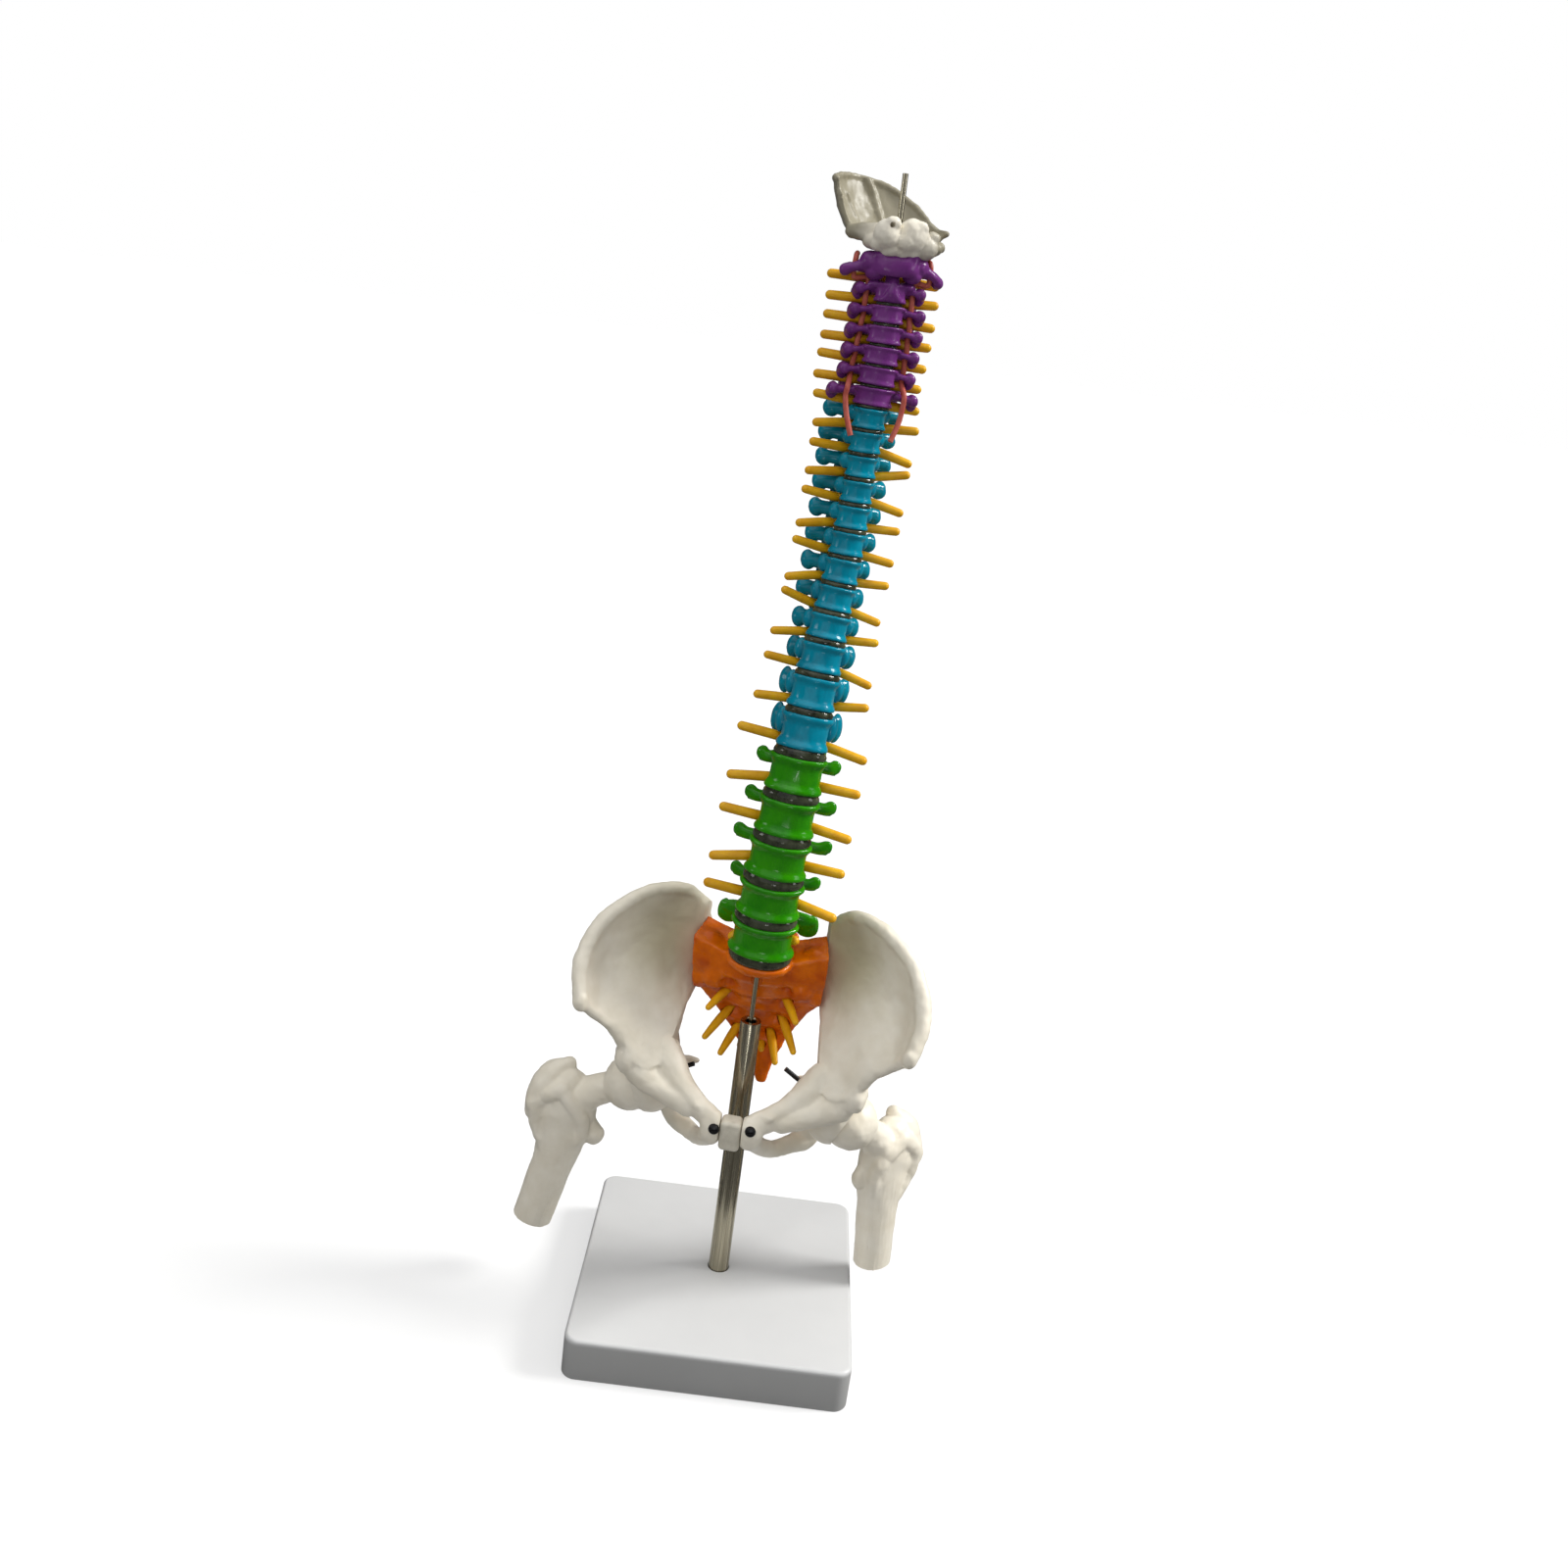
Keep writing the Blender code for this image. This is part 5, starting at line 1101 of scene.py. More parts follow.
def build_cord(frames, top, shape, grow=0.0):
    """Spinal cord with its nerve stubs; grow makes the clearance tool for the sacrum."""
    bm = bmesh.new()
    keys = [(*point, radius + grow, radius + grow) for point, radius in canal_points(frames, top)]
    keys[0] = (*keys[0][:2], keys[0][2] - 2 * grow, *keys[0][3:])
    tube(bm, keys, steps=3, sides=shape.tube_sides, domes=())
    cord = new_object("cord", bm)
    groups = [[nerve_pair(turn, level) for level, turn in enumerate(frames)]]
    for side in (-1, 1):
        groups.append([sacral_nerve(*ends, side) for ends in zip(SACRAL_ROOTS, SACRAL_TIPS)])
    for group in groups:
        nerves = bmesh.new()
        for rows in group:
            rows = [(*row[:3], row[3] + grow, row[4] + grow) for row in rows]
            tube(nerves, rows, side=(0, 0, 1), steps=3, sides=shape.tube_sides, domes=NERVE_DOMES)
        combine(cord, new_object("nerves", nerves), "UNION")
    return cord


def build_sacrum(cord_tool, shape):
    """Sacrum and coccyx, cut for the cord, the nerves and the ferrule."""
    bm = bmesh.new()
    sacrum_shape(bm)
    obj = new_object("sacrum", bm)
    melt(obj, shape.large_step / MM, shape.soften, shape.sacrum_faces)
    for side in (-1, 1):
        combine(obj, joint_plane_box(side, inner=False))
    melt(obj, shape.large_step / MM, shape.soften * 2, shape.sacrum_faces)
    roughen(obj, *WAVES["sacrum"])
    carve_sacrum(obj)
    for side in (-1, 1):
        combine(obj, joint_plane_box(side, inner=False))
    turn = pelvis_turn().inverted()
    s = level_sizes(0)
    bm = bmesh.new()
    loft(bm, [[turn @ sacrum_top_frame() @ point
               for point in body_ring(s.width * 1.1, s.depth * 1.1, z)] for z in (0.0, 14.0)])
    combine(obj, new_object("cutter", bm))
    combine(obj, rod((0, 0, 121), (0, 0, 181), FERRULE_RADIUS + WIRE_CLEARANCE, sides=32))
    cord_tool.matrix_world = turn
    combine(obj, cord_tool)
    settle(obj, "sacrum_skin", "sacrum", pelvis_turn(), ["sacrum"])


def build_hip(side, shape):
    """Hip bone, cut for the sacroiliac joint, the symphysis and the socket."""
    bm = bmesh.new()
    hip_shape(bm, side)
    obj = new_object("hip", bm)
    melt(obj, shape.large_step / MM, shape.soften * 3, shape.hip_faces)
    roughen(obj, *WAVES["hip"])
    combine(obj, joint_plane_box(side, inner=True))
    inner = sorted((0.0, side * (SYMPHYSIS_HALF_WIDTH + FIT_GAP)))
    combine(obj, box((inner[0], -60, 60), (inner[1], 20, 130)))
    head = bmesh.new()
    bmesh.ops.create_uvsphere(head, u_segments=64, v_segments=40, radius=HEAD_RADIUS + SOCKET_GAP,
                              matrix=Matrix.Translation((side * HEAD_CENTRE.x, *HEAD_CENTRE.yz)))
    combine(obj, new_object("socket", head))
    name = side_name("hip_bone", side)
    settle(obj, name + "_skin", "hip", pelvis_turn(), [name])


def build_femur(side, shape):
    """Thigh-bone stub, sawn flat at its lower end; it turns in its socket."""
    bm = bmesh.new()
    femur_shape(bm, side)
    obj = new_object("femur", bm)
    melt(obj, shape.large_step / MM, shape.soften * 2, shape.femur_faces)
    roughen(obj, *WAVES["femur"])
    combine(obj, box((-80, -40, -FEMUR_END[side] - 40), (80, 40, -FEMUR_END[side])))
    place = pelvis_turn() @ Matrix.Translation((side * HEAD_CENTRE.x, *HEAD_CENTRE.yz))
    place @= Matrix.Rotation(math.radians(-side * FEMUR_SPLAY[side]), 4, "Y")
    place @= Matrix.Rotation(math.radians(side * FEMUR_TWIST[side]), 4, "Z")
    name = side_name("femur", side)
    settle(obj, name + "_skin", "bone", place, [name], body=name)


def build_occiput(frames, top, shape):
    """Skull plate with the hole for the wire and the great hole for the cord."""
    bm = bmesh.new()
    occiput_shape(bm)
    obj = new_object("occiput", bm)
    melt(obj, shape.large_step / MM * 0.8, shape.soften, shape.occiput_faces)
    roughen(obj, *WAVES["occiput"])
    bm = bmesh.new()
    tube(bm, [(0, 9.5, -12, 6.2, 6.6), (0, 9.5, 12.5, 6.2, 6.6)], steps=1, sides=48, domes=())
    combine(obj, new_object("cutter", bm))
    turn = frames[-1].to_3x3().to_4x4() @ Matrix.Rotation(math.radians(OCCIPUT_YAW), 4, "Z")
    combine(obj, rod((0, 0, -20), (0, 0, 40), WIRE_RADIUS + WIRE_CLEARANCE, 24))
    combine(obj, rod(*OCCIPUT_BORE, sides=24))
    settle(obj, "occiput_skin", "skull", Matrix.Translation(top) @ turn, ["occiput"])


def build_base():
    """Square foot with rounded corners, a rolled top edge and a socket for the pole."""
    bm = bmesh.new()
    bmesh.ops.create_cube(bm, size=1.0, matrix=Matrix.Translation((0, 0, BASE_HEIGHT / 2))
                          @ Matrix.Diagonal((BASE_SIDE, BASE_SIDE, BASE_HEIGHT, 1.0)))
    upright = [e for e in bm.edges if abs(e.verts[0].co.z - e.verts[1].co.z) > BASE_HEIGHT / 2]
    bmesh.ops.bevel(bm, geom=upright, offset=BASE_CORNER_RADIUS, segments=16, affect="EDGES",
                    profile=0.5)
    for height, radius in ((BASE_HEIGHT, BASE_EDGE_RADIUS), (0.0, BASE_FOOT_RADIUS)):
        rim = [e for e in bm.edges if all(abs(v.co.z - height) < 0.01 for v in e.verts)
               and any(abs(f.normal.z) < 0.1 for f in e.link_faces)]
        bmesh.ops.bevel(bm, geom=rim, offset=radius, segments=6, affect="EDGES", profile=0.5)
    obj = new_object("base", bm)
    floor = BASE_HEIGHT - POLE_SOCKET_DEPTH
    combine(obj, rod((0, 0, floor), (0, 0, 40), POLE_RADIUS + FIT_GAP, sides=64))
    settle(obj, "stand_base_skin", "base", nodes=["stand_base"])


def build_pole():
    """Steel tube with a softened mouth that holds the ferrule."""
    foot = BASE_HEIGHT - POLE_SOCKET_DEPTH + FIT_GAP
    soft = 0.4
    profile = ((POLE_BORE_RADIUS, foot), (POLE_RADIUS - soft, foot), (POLE_RADIUS, foot + soft),
               (POLE_RADIUS, POLE_TOP - soft), (POLE_RADIUS - soft * 0.3, POLE_TOP - soft * 0.3),
               (POLE_RADIUS - soft, POLE_TOP), (POLE_BORE_RADIUS + soft, POLE_TOP),
               (POLE_BORE_RADIUS, POLE_TOP - soft))
    bm = bmesh.new()
    turned(bm, profile)
    settle(new_object("pole", bm), "stand_pole_skin", "pole_steel", nodes=["stand_pole"])


def turned(bm, profile, sides=72):
    """Closed ring profile of radius and height turned about the Z axis."""
    rows = [[bm.verts.new((radius * math.cos(a), radius * math.sin(a), z)) for radius, z in profile]
            for a in (2 * math.pi * k / sides for k in range(sides))]
    count = len(profile)
    for here, there in zip(rows, rows[1:] + rows[:1]):
        for k in range(count):
            bm.faces.new((here[k], there[k], there[(k + 1) % count], here[(k + 1) % count]))


def build_symphysis():
    """Soft block between the pubic bones."""
    bm = bmesh.new()
    bmesh.ops.create_cube(bm, size=1.0, matrix=Matrix.Translation(SYMPHYSIS_CENTRE)
                          @ Matrix.Diagonal((*SYMPHYSIS_SIZE, 1.0)))
    bmesh.ops.bevel(bm, geom=bm.edges[:], offset=1.9, segments=6, affect="EDGES", profile=0.5)
    settle(new_object("symphysis", bm), "pubic_symphysis_skin", "cushion", pelvis_turn(),
           ["pubic_symphysis"])


def polyline(name, points, radii):
    """Open chain of points with a thickness at each, as the input of the tube nodes."""
    mesh = bpy.data.meshes.new(name)
    mesh.from_pydata([Vector(point) for point in points],
                     [(k, k + 1) for k in range(len(points) - 1)], [])
    thickness = mesh.attributes.new("thickness", "FLOAT", "POINT")
    thickness.data.foreach_set("value", radii)
    obj = bpy.data.objects.new(name, mesh)
    bpy.context.collection.objects.link(obj)
    return obj


def open_geometry(name, inputs, output):
    """Geometry node tree with named sockets; returns it, its given sockets and its end node."""
    tree = bpy.data.node_groups.new(name, "GeometryNodeTree")
    for title, kind in inputs:
        tree.interface.new_socket(title, in_out="INPUT", socket_type="NodeSocket" + kind)
    tree.interface.new_socket(output, in_out="OUTPUT", socket_type="NodeSocketGeometry")
    return tree, tree.nodes.new("NodeGroupInput").outputs, tree.nodes.new("NodeGroupOutput")


def close_geometry(tree, end, output, geometry, material):
    """End a geometry node tree with plain, painted geometry."""
    plain = add_node(tree, "GeometryNodeRealizeInstances", {"Geometry": geometry})["Geometry"]
    painted = add_node(tree, "GeometryNodeSetMaterial", {"Geometry": plain, "Material": material})
    fill(tree, end, {output: painted["Geometry"]})
    return tree


def stored_value(tree, name, kind):
    """Attribute that the input mesh holds at each point."""
    return add_node(tree, "GeometryNodeInputNamedAttribute", {"Name": name},
                    data_type=kind)["Attribute"]


def tube_tree():
    """Geometry nodes that sweep a circle along a chain of points."""
    tree, given, end = open_geometry(
        "swept_tube", (("Path", "Geometry"), ("Sides", "Int"), ("Material", "Material")), "Tube")
    path = add_node(tree, "GeometryNodeMeshToCurve", {"Mesh": given["Path"]})["Curve"]
    path = add_node(tree, "GeometryNodeSetCurveRadius", {
        "Curve": path, "Radius": stored_value(tree, "thickness", "FLOAT")})["Curve"]
    circle = add_node(tree, "GeometryNodeCurvePrimitiveCircle", {
        "Radius": 1.0, "Resolution": given["Sides"]})["Curve"]
    swept_mesh = add_node(tree, "GeometryNodeCurveToMesh", {
        "Curve": path, "Profile Curve": circle, "Fill Caps": True})["Mesh"]
    return close_geometry(tree, end, "Tube", swept_mesh, given["Material"])


def run_nodes(obj, tree, values):
    """Give an object a node tree with named input values and keep the plain mesh it makes."""
    modifier = obj.modifiers.new(tree.name, "NODES")
    modifier.node_group = tree
    for item in tree.interface.items_tree:
        if item.item_type == "SOCKET" and item.in_out == "INPUT" and item.name in values:
            modifier[item.identifier] = values[item.name]
    apply_modifiers(obj)


def swept(name, points, radii, sides, colour):
    """Tube along a chain of points, with flat or rounded ends as its radii say."""
    obj = polyline(name, points, radii)
    tree = bpy.data.node_groups.get("swept_tube") or tube_tree()
    run_nodes(obj, tree, {"Sides": sides, "Material": look(colour)})
    return obj


def rounded(points, radii, soft):
    """The same chain with two points added at each end that round its rims by soft."""
    first = (points[0] - points[1]).normalized()
    last = (points[-1] - points[-2]).normalized()
    points = ([points[0], points[0] - first * soft * 0.3, points[0] - first * soft] + points[1:-1]
              + [points[-1] - last * soft, points[-1] - last * soft * 0.3, points[-1]])
    ends = [(radii[k] - soft, radii[k] - soft * 0.3, radii[k]) for k in (0, -1)]
    return points, [*ends[0], *radii[1:-1], *ends[1][::-1]]


def build_core_rod(frames, top, shape):
    """Ferrule and wire in one piece."""
    points = wire_points(frames, top)
    neck = points[0] + Vector((0, 0, 0.6))
    points = [Vector((0, 0, FERRULE_BOTTOM)), points[0], neck] + points[1:]
    radii = [FERRULE_RADIUS, FERRULE_RADIUS] + [WIRE_RADIUS] * (len(points) - 2)
    points, radii = rounded(points, radii, 0.3)
    obj = swept("core_rod", points, radii, shape.tube_sides, "pole_steel")
    settle(obj, "core_rod_skin", "pole_steel", nodes=["core_rod"])


def build_artery(frames, side, shape):
    """Artery beside the neck."""
    rows = smooth_path([tuple(row) for row in artery_keys(frames, side)], 4)
    points = [Vector(row[:3]) for row in rows]
    points, radii = rounded(points, [float(row[3]) for row in rows], 0.4)
    name = side_name("vertebral_artery", side)
    obj = swept(name, points, radii, shape.tube_sides, "artery")
    settle(obj, name + "_skin", "artery", nodes=[name])


def screw_template():
    """Pan-head screw with a slot, pointing along +Z with its seat at the origin."""
    bm = bmesh.new()
    profile = ((0.02, 1.3), (1.2, 1.22), (1.9, 0.95), (2.2, 0.4), (2.2, 0.0), (1.0, 0.0),
               (1.0, -3.0), (0.02, -3.8))
    turned(bm, profile, sides=32)
    bmesh.ops.holes_fill(bm, edges=[e for e in bm.edges if len(e.link_faces) == 1])
    obj = new_object("screw_template", bm)
    combine(obj, box((-1.7, -0.28, 0.6), (1.7, 0.28, 3.0)))
    weld(obj)
    return obj


def screw_tree():
    """Geometry nodes that put a screw on every point, turned to the point's direction."""
    tree, given, end = open_geometry(
        "placed_screws", (("Points", "Geometry"), ("Screw", "Object"), ("Material", "Material")),
        "Screws")
    template = add_node(tree, "GeometryNodeObjectInfo", {"Object": given["Screw"]})["Geometry"]
    turn = add_node(tree, "FunctionNodeAlignRotationToVector", {
        "Vector": stored_value(tree, "direction", "FLOAT_VECTOR")}, axis="Z")["Rotation"]
    placed = add_node(tree, "GeometryNodeInstanceOnPoints", {
        "Points": given["Points"], "Instance": template, "Rotation": turn})["Instances"]
    return close_geometry(tree, end, "Screws", placed, given["Material"])


def build_screws():
    """Screws at the pubic joint, from one template, and the ends of the hip screws."""
    turn = pelvis_turn()
    mesh = bpy.data.meshes.new("screw_points")
    mesh.from_pydata([turn @ Vector(point) for point, _ in SCREWS], [], [])
    direction = mesh.attributes.new("direction", "FLOAT_VECTOR", "POINT")
    values = [c for _, way in SCREWS for c in turn.to_3x3() @ Vector(way).normalized()]
    direction.data.foreach_set("vector", values)
    obj = bpy.data.objects.new("screws", mesh)
    bpy.context.collection.objects.link(obj)
    template = screw_template()
    run_nodes(obj, screw_tree(), {"Screw": template, "Material": look("screw")})
    bpy.data.objects.remove(template)
    settle(obj, "pubic_screws", "screw")
    for side, ends in HIP_SCREWS:
        start, end = [turn @ Vector((side * x, y, z)) for x, y, z in ends]
        name = side_name("hip_screw", side)
        points, radii = rounded([start, start.lerp(end, 0.5), end], [HIP_SCREW_RADIUS] * 3, 0.4)
        settle(swept(name, points, radii, 32, "screw"), name, "screw")


class SpineShapeSettings(bpy.types.PropertyGroup):
    """How finely the pieces are drawn."""

    small_step: bpy.props.FloatProperty(
        name="Vertebra skin step", description="Grid step of the skin of the vertebrae",
        default=0.00032, min=0.0002, max=0.002, unit="LENGTH", subtype="DISTANCE", precision=5)
    large_step: bpy.props.FloatProperty(
        name="Large bone skin step", description="Grid step of the skin of the large bones",
        default=0.0005, min=0.0003, max=0.004, unit="LENGTH", subtype="DISTANCE", precision=5)
    soften: bpy.props.IntProperty(
        name="Soften", description="Smoothing passes over each skin", default=6, min=0, max=30)
    vertebra_faces: bpy.props.IntProperty(
        name="Vertebra triangles", description="Triangles kept in each vertebra", default=12000,
        min=500, max=60000)
    hip_faces: bpy.props.IntProperty(
        name="Hip bone triangles", description="Triangles kept in each hip bone", default=48000,
        min=1000, max=150000)
    femur_faces: bpy.props.IntProperty(
        name="Thigh bone triangles", description="Triangles kept in each thigh bone",
        default=26000, min=1000, max=100000)
    sacrum_faces: bpy.props.IntProperty(
        name="Sacrum triangles", description="Triangles kept in the sacrum", default=36000,
        min=1000, max=100000)
    occiput_faces: bpy.props.IntProperty(
        name="Occiput triangles", description="Triangles kept in the skull plate",
        default=28000, min=1000, max=100000)
    tube_sides: bpy.props.IntProperty(
        name="Tube sides", description="Sides of nerves, arteries and wire", default=20, min=6, max=64)


class SpineStageSettings(bpy.types.PropertyGroup):
    """Camera, lamps and floor of the photo view."""

    lens: bpy.props.FloatProperty(
        name="Lens", description="Focal length on a 36 mm sensor", default=32.4508, min=10.0,
        max=200.0, unit="CAMERA")
    key_power: bpy.props.FloatProperty(
        name="Key sun", description="Strength of the light from the right", default=2.9, min=0.0)
    sparkle_power: bpy.props.FloatProperty(
        name="Sparkle lamp", description="Power of the low small lamp that the discs mirror",
        default=0.35, min=0.0)
    front_power: bpy.props.FloatProperty(
        name="Front light", description="Power of the weak wide light in front", default=0.50,
        min=0.0)
    top_power: bpy.props.FloatProperty(
        name="Top sun", description="Strength of the wide light overhead", default=1.65, min=0.0)
    glint_power: bpy.props.FloatProperty(
        name="Glint lamps", description="Power of each lamp at the sides", default=1.4,
        min=0.0, unit="POWER")
    sky: bpy.props.FloatProperty(
        name="Sky light", description="Strength of the even light from all round", default=0.05,
        min=0.0, max=2.0)
    floor_bounce: bpy.props.FloatProperty(
        name="Floor bounce", description="Share of the light that the floor gives back",
        default=0.12, min=0.0, max=1.0, subtype="FACTOR")
    floor_size: bpy.props.FloatProperty(
        name="Floor size", description="Side of the square floor", default=60.0, min=1.0,
        unit="LENGTH", subtype="DISTANCE")
    backdrop: bpy.props.FloatProperty(
        name="Backdrop share", description="Share of plain white in what the camera sees of the floor",
        default=0.5, min=0.0, max=1.0, subtype="FACTOR")


class SPINE_OT_vertebrae(bpy.types.Operator):
    """Build the twenty-four vertebrae with their arches, processes and holes"""

    bl_idname = "spine_model.vertebrae"
    bl_label = "Vertebrae"

    def execute(self, context):
        """Draw every vertebra at its place on the column."""
        frames, _ = column_frames()
        for level, here in enumerate(frames):
            build_vertebra(level, here, context.scene.spine_shape)
        return {"FINISHED"}


class SPINE_OT_discs(bpy.types.Operator):
    """Build the clear pads between the vertebrae"""

    bl_idname = "spine_model.discs"
    bl_label = "Discs"

    def execute(self, context):
        """Draw every pad between its two faces."""
        frames, _ = column_frames()
        for level in range(-1, C2):
            build_disc(level, frames)
        return {"FINISHED"}


class SPINE_OT_nerves(bpy.types.Operator):
    """Build the spinal cord with its nerve stubs and the sacrum that is cut for it"""

    bl_idname = "spine_model.nerves"
    bl_label = "Cord, Nerves and Sacrum"

    def execute(self, context):
        """Draw the cord, and the sacrum round a slightly thicker copy of it."""
        shape = context.scene.spine_shape
        frames, top = column_frames()
        build_sacrum(build_cord(frames, top, shape, grow=CORD_CLEARANCE), shape)
        settle(build_cord(frames, top, shape), "spinal_cord_skin", "nerve",
               nodes=["spinal_cord_and_nerves"])
        return {"FINISHED"}


class SPINE_OT_arteries(bpy.types.Operator):
    """Build the two arteries beside the neck and the rod and wire through the column"""

    bl_idname = "spine_model.arteries"
    bl_label = "Arteries and Wire"

    def execute(self, context):
        """Sweep the tubes along their paths."""
        shape = context.scene.spine_shape
        frames, top = column_frames()
        for side in (-1, 1):
            build_artery(frames, side, shape)
        build_core_rod(frames, top, shape)
        return {"FINISHED"}


class SPINE_OT_pelvis(bpy.types.Operator):
    """Build both hip bones and the block between them"""

    bl_idname = "spine_model.pelvis"
    bl_label = "Hip Bones"

    def execute(self, context):
        """Draw the hip bones and the pubic block."""
        for side in (-1, 1):
            build_hip(side, context.scene.spine_shape)
        build_symphysis()
        return {"FINISHED"}


class SPINE_OT_femurs(bpy.types.Operator):
    """Build the two thigh-bone stubs"""

    bl_idname = "spine_model.femurs"
    bl_label = "Thigh Bones"

    def execute(self, context):
        """Draw both thigh bones on their own bodies."""
        for side in (-1, 1):
            build_femur(side, context.scene.spine_shape)
        return {"FINISHED"}


class SPINE_OT_occiput(bpy.types.Operator):
    """Build the skull plate on top of the neck"""

    bl_idname = "spine_model.occiput"
    bl_label = "Skull Plate"

    def execute(self, context):
        """Draw the skull plate on the top vertebra."""
        frames, top = column_frames()
        build_occiput(frames, top, context.scene.spine_shape)
        return {"FINISHED"}


class SPINE_OT_stand(bpy.types.Operator):
    """Build the base and the pole"""

    bl_idname = "spine_model.stand"
    bl_label = "Stand"

    def execute(self, context):
        """Draw the base and the pole."""
        build_base()
        build_pole()
        return {"FINISHED"}


class SPINE_OT_screws(bpy.types.Operator):
    """Place the small dark screws"""

    bl_idname = "spine_model.screws"
    bl_label = "Screws"

    def execute(self, context):
        """Put a screw at every listed place."""
        build_screws()
        return {"FINISHED"}


FLOOR_STEPS = 8
CAMERA_PLACE = (-0.0051788442, -0.5166747234, 0.4049216507)
CAMERA_TURN = (72.0455, -7.2346, 1.6991)
# Sun: power setting, direction that it comes from, spread in degrees, colour
SUNS = (
    ("key_power", (1.00, 0.14, 0.85), 20.0, (1.0, 0.99, 0.97)),
    ("top_power", (-0.05, -0.12, 1.00), 95.0, (1.0, 1.0, 1.0)),
    ("front_power", (-0.25, -1.00, 0.45), 60.0, (1.0, 1.0, 1.0)),
)
# Panel lamp: power setting, place, aim, size in metres, colour
LAMPS = (
    ("glint_power", (-1.15, -0.40, 0.60), (0.0, 0.0, 0.25), 0.30, (1.0, 1.0, 1.0)),
    ("glint_power", (1.15, -0.40, 0.60), (0.0, 0.0, 0.25), 0.30, (1.0, 1.0, 1.0)),
    ("sparkle_power", (0.02, -0.90, 0.08), (0.0, 0.0, 0.22), 0.10, (1.0, 1.0, 1.0)),
)


def build_floor(stage):
    """Pale floor that is seen as white where no shadow falls."""
    bm = bmesh.new()
    bmesh.ops.create_grid(bm, x_segments=FLOOR_STEPS, y_segments=FLOOR_STEPS,
                          size=stage.floor_size / 2)
    mesh = bpy.data.meshes.new("floor")
    bm.to_mesh(mesh)
    bm.free()
    obj = bpy.data.objects.new("floor", mesh)
    bpy.context.collection.objects.link(obj)
    made = bpy.data.materials.new("floor")
    made.use_nodes = True
    tree = made.node_tree
    shader = tree.nodes["Principled BSDF"]
    cloud = noise(tree, object_place(tree), 3.0, 3.0)
    seen = seen_share(tree)
    fill(tree, shader, {
        "Base Color": map_range(tree, seen, 0.0, 1.0, stage.floor_bounce, 1.0),
        "Roughness": map_range(tree, cloud, 0.3, 0.7, 0.75, 0.9), "Specular IOR Level": 0.0})
    white = add_node(tree, "ShaderNodeEmission", {"Strength": 1.0})["Emission"]
    share = add_node(tree, "ShaderNodeMath", {0: seen, 1: stage.backdrop},
                     operation="MULTIPLY")["Value"]
    mixed = add_node(tree, "ShaderNodeMixShader", {"Fac": share, 1: shader.outputs["BSDF"], 2: white})
    fill(tree, tree.nodes["Material Output"], {"Surface": mixed["Shader"]})
    mesh.materials.append(made)


def seen_share(tree):
    """One for rays from the camera or through clear faces, else zero."""
    path = add_node(tree, "ShaderNodeLightPath", {})
    return add_node(tree, "ShaderNodeMath", {
        0: path["Is Camera Ray"], 1: path["Is Transmission Ray"]}, operation="MAXIMUM")["Value"]


def build_world(stage):
    """White world for the eye, and an even, weaker sky for the light."""
    world = bpy.data.worlds.new("studio")
    world.use_nodes = True
    tree = world.node_tree
    fill(tree, tree.nodes["Background"], {
        "Color": (1.0, 1.0, 1.0, 1.0),
        "Strength": map_range(tree, seen_share(tree), 0.0, 1.0, stage.sky, 1.0)})
    bpy.context.scene.world = world


def add_lamp(setting, kind, place, aim, colour, stage):
    """Lamp of a kind at a place, turned to its aim; returns its data."""
    lamp = bpy.data.lights.new(setting.replace("power", "lamp"), kind)
    lamp.energy = getattr(stage, setting)
    lamp.color = colour
    obj = bpy.data.objects.new(lamp.name, lamp)
    obj.location = place
    obj.rotation_euler = (Vector(aim) - Vector(place)).to_track_quat("-Z", "Y").to_euler()
    bpy.context.collection.objects.link(obj)
    return lamp


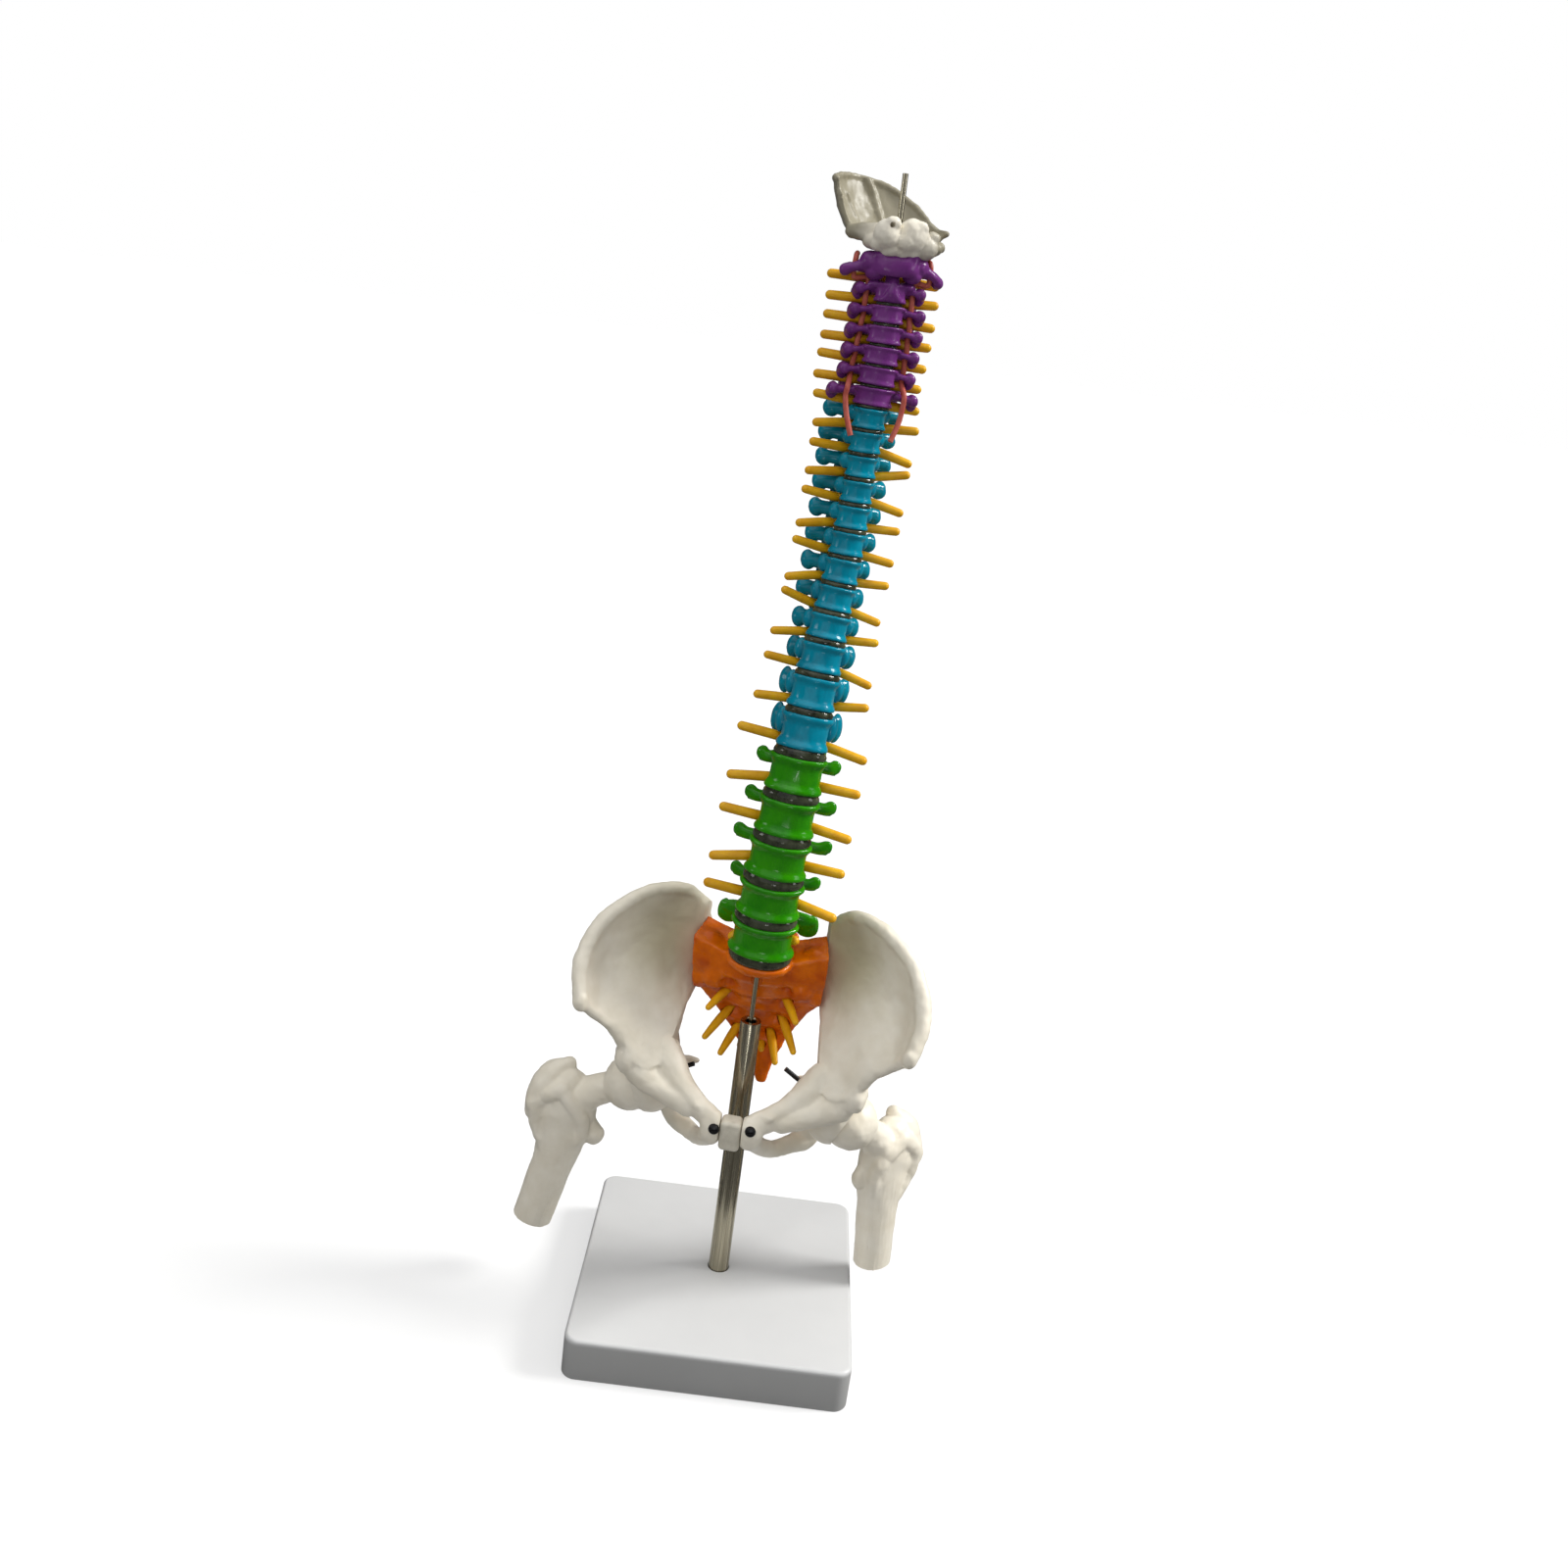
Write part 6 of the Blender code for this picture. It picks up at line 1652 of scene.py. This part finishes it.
class SPINE_OT_stage(bpy.types.Operator):
    """Set up the photo's camera, the soft lamps, the floor and the white surroundings"""

    bl_idname = "spine_model.stage"
    bl_label = "Stage"

    def execute(self, context):
        """Place the floor, the world, the lamps and the camera."""
        scene = context.scene
        stage = scene.spine_stage
        build_floor(stage)
        build_world(stage)
        for title, source, spread, colour in SUNS:
            sun = add_lamp(title, "SUN", source, (0.0, 0.0, 0.0), colour, stage)
            sun.angle = math.radians(spread)
        for title, place, aim, size, colour in LAMPS:
            panel = add_lamp(title, "AREA", place, aim, colour, stage)
            panel.size = size
        camera = bpy.data.cameras.new("photo_camera")
        camera.lens = stage.lens
        camera.sensor_width = 36.0
        camera.clip_start = 0.01
        seat = bpy.data.objects.new("photo_camera", camera)
        seat.location = CAMERA_PLACE
        seat.rotation_euler = [math.radians(angle) for angle in CAMERA_TURN]
        context.collection.objects.link(seat)
        scene.camera = seat
        scene.view_settings.view_transform = "Standard"
        return {"FINISHED"}


class SPINE_PT_panel(bpy.types.Panel):
    """Sidebar panel with every building step."""

    bl_idname = "SPINE_PT_panel"
    bl_label = "Spine Model"
    bl_space_type = "VIEW_3D"
    bl_region_type = "UI"
    bl_category = "Spine"

    def draw(self, context):
        """List the steps and their settings."""
        for operator in OPERATORS:
            self.layout.operator(operator.bl_idname)
        for group in (context.scene.spine_shape, context.scene.spine_stage):
            for name in group.__annotations__:
                self.layout.prop(group, name)


OPERATORS = (SPINE_OT_vertebrae, SPINE_OT_discs, SPINE_OT_nerves, SPINE_OT_arteries,
             SPINE_OT_pelvis, SPINE_OT_femurs, SPINE_OT_occiput, SPINE_OT_stand, SPINE_OT_screws,
             SPINE_OT_stage)
CLASSES = (SpineShapeSettings, SpineStageSettings, *OPERATORS, SPINE_PT_panel)


def register():
    """Register the classes and hang the settings on the scene."""
    for item in CLASSES:
        bpy.utils.register_class(item)
    bpy.types.Scene.spine_shape = bpy.props.PointerProperty(type=SpineShapeSettings)
    bpy.types.Scene.spine_stage = bpy.props.PointerProperty(type=SpineStageSettings)


def unregister():
    """Take the settings and the classes away again."""
    del bpy.types.Scene.spine_stage
    del bpy.types.Scene.spine_shape
    for item in reversed(CLASSES):
        bpy.utils.unregister_class(item)


def main():
    """Build everything in order."""
    register()
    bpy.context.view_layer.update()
    bpy.ops.spine_model.vertebrae()
    bpy.ops.spine_model.discs()
    bpy.ops.spine_model.nerves()
    bpy.ops.spine_model.arteries()
    bpy.ops.spine_model.pelvis()
    bpy.ops.spine_model.femurs()
    bpy.ops.spine_model.occiput()
    bpy.ops.spine_model.stand()
    bpy.ops.spine_model.screws()
    bpy.ops.spine_model.stage()


if __name__ == "__main__":
    main()
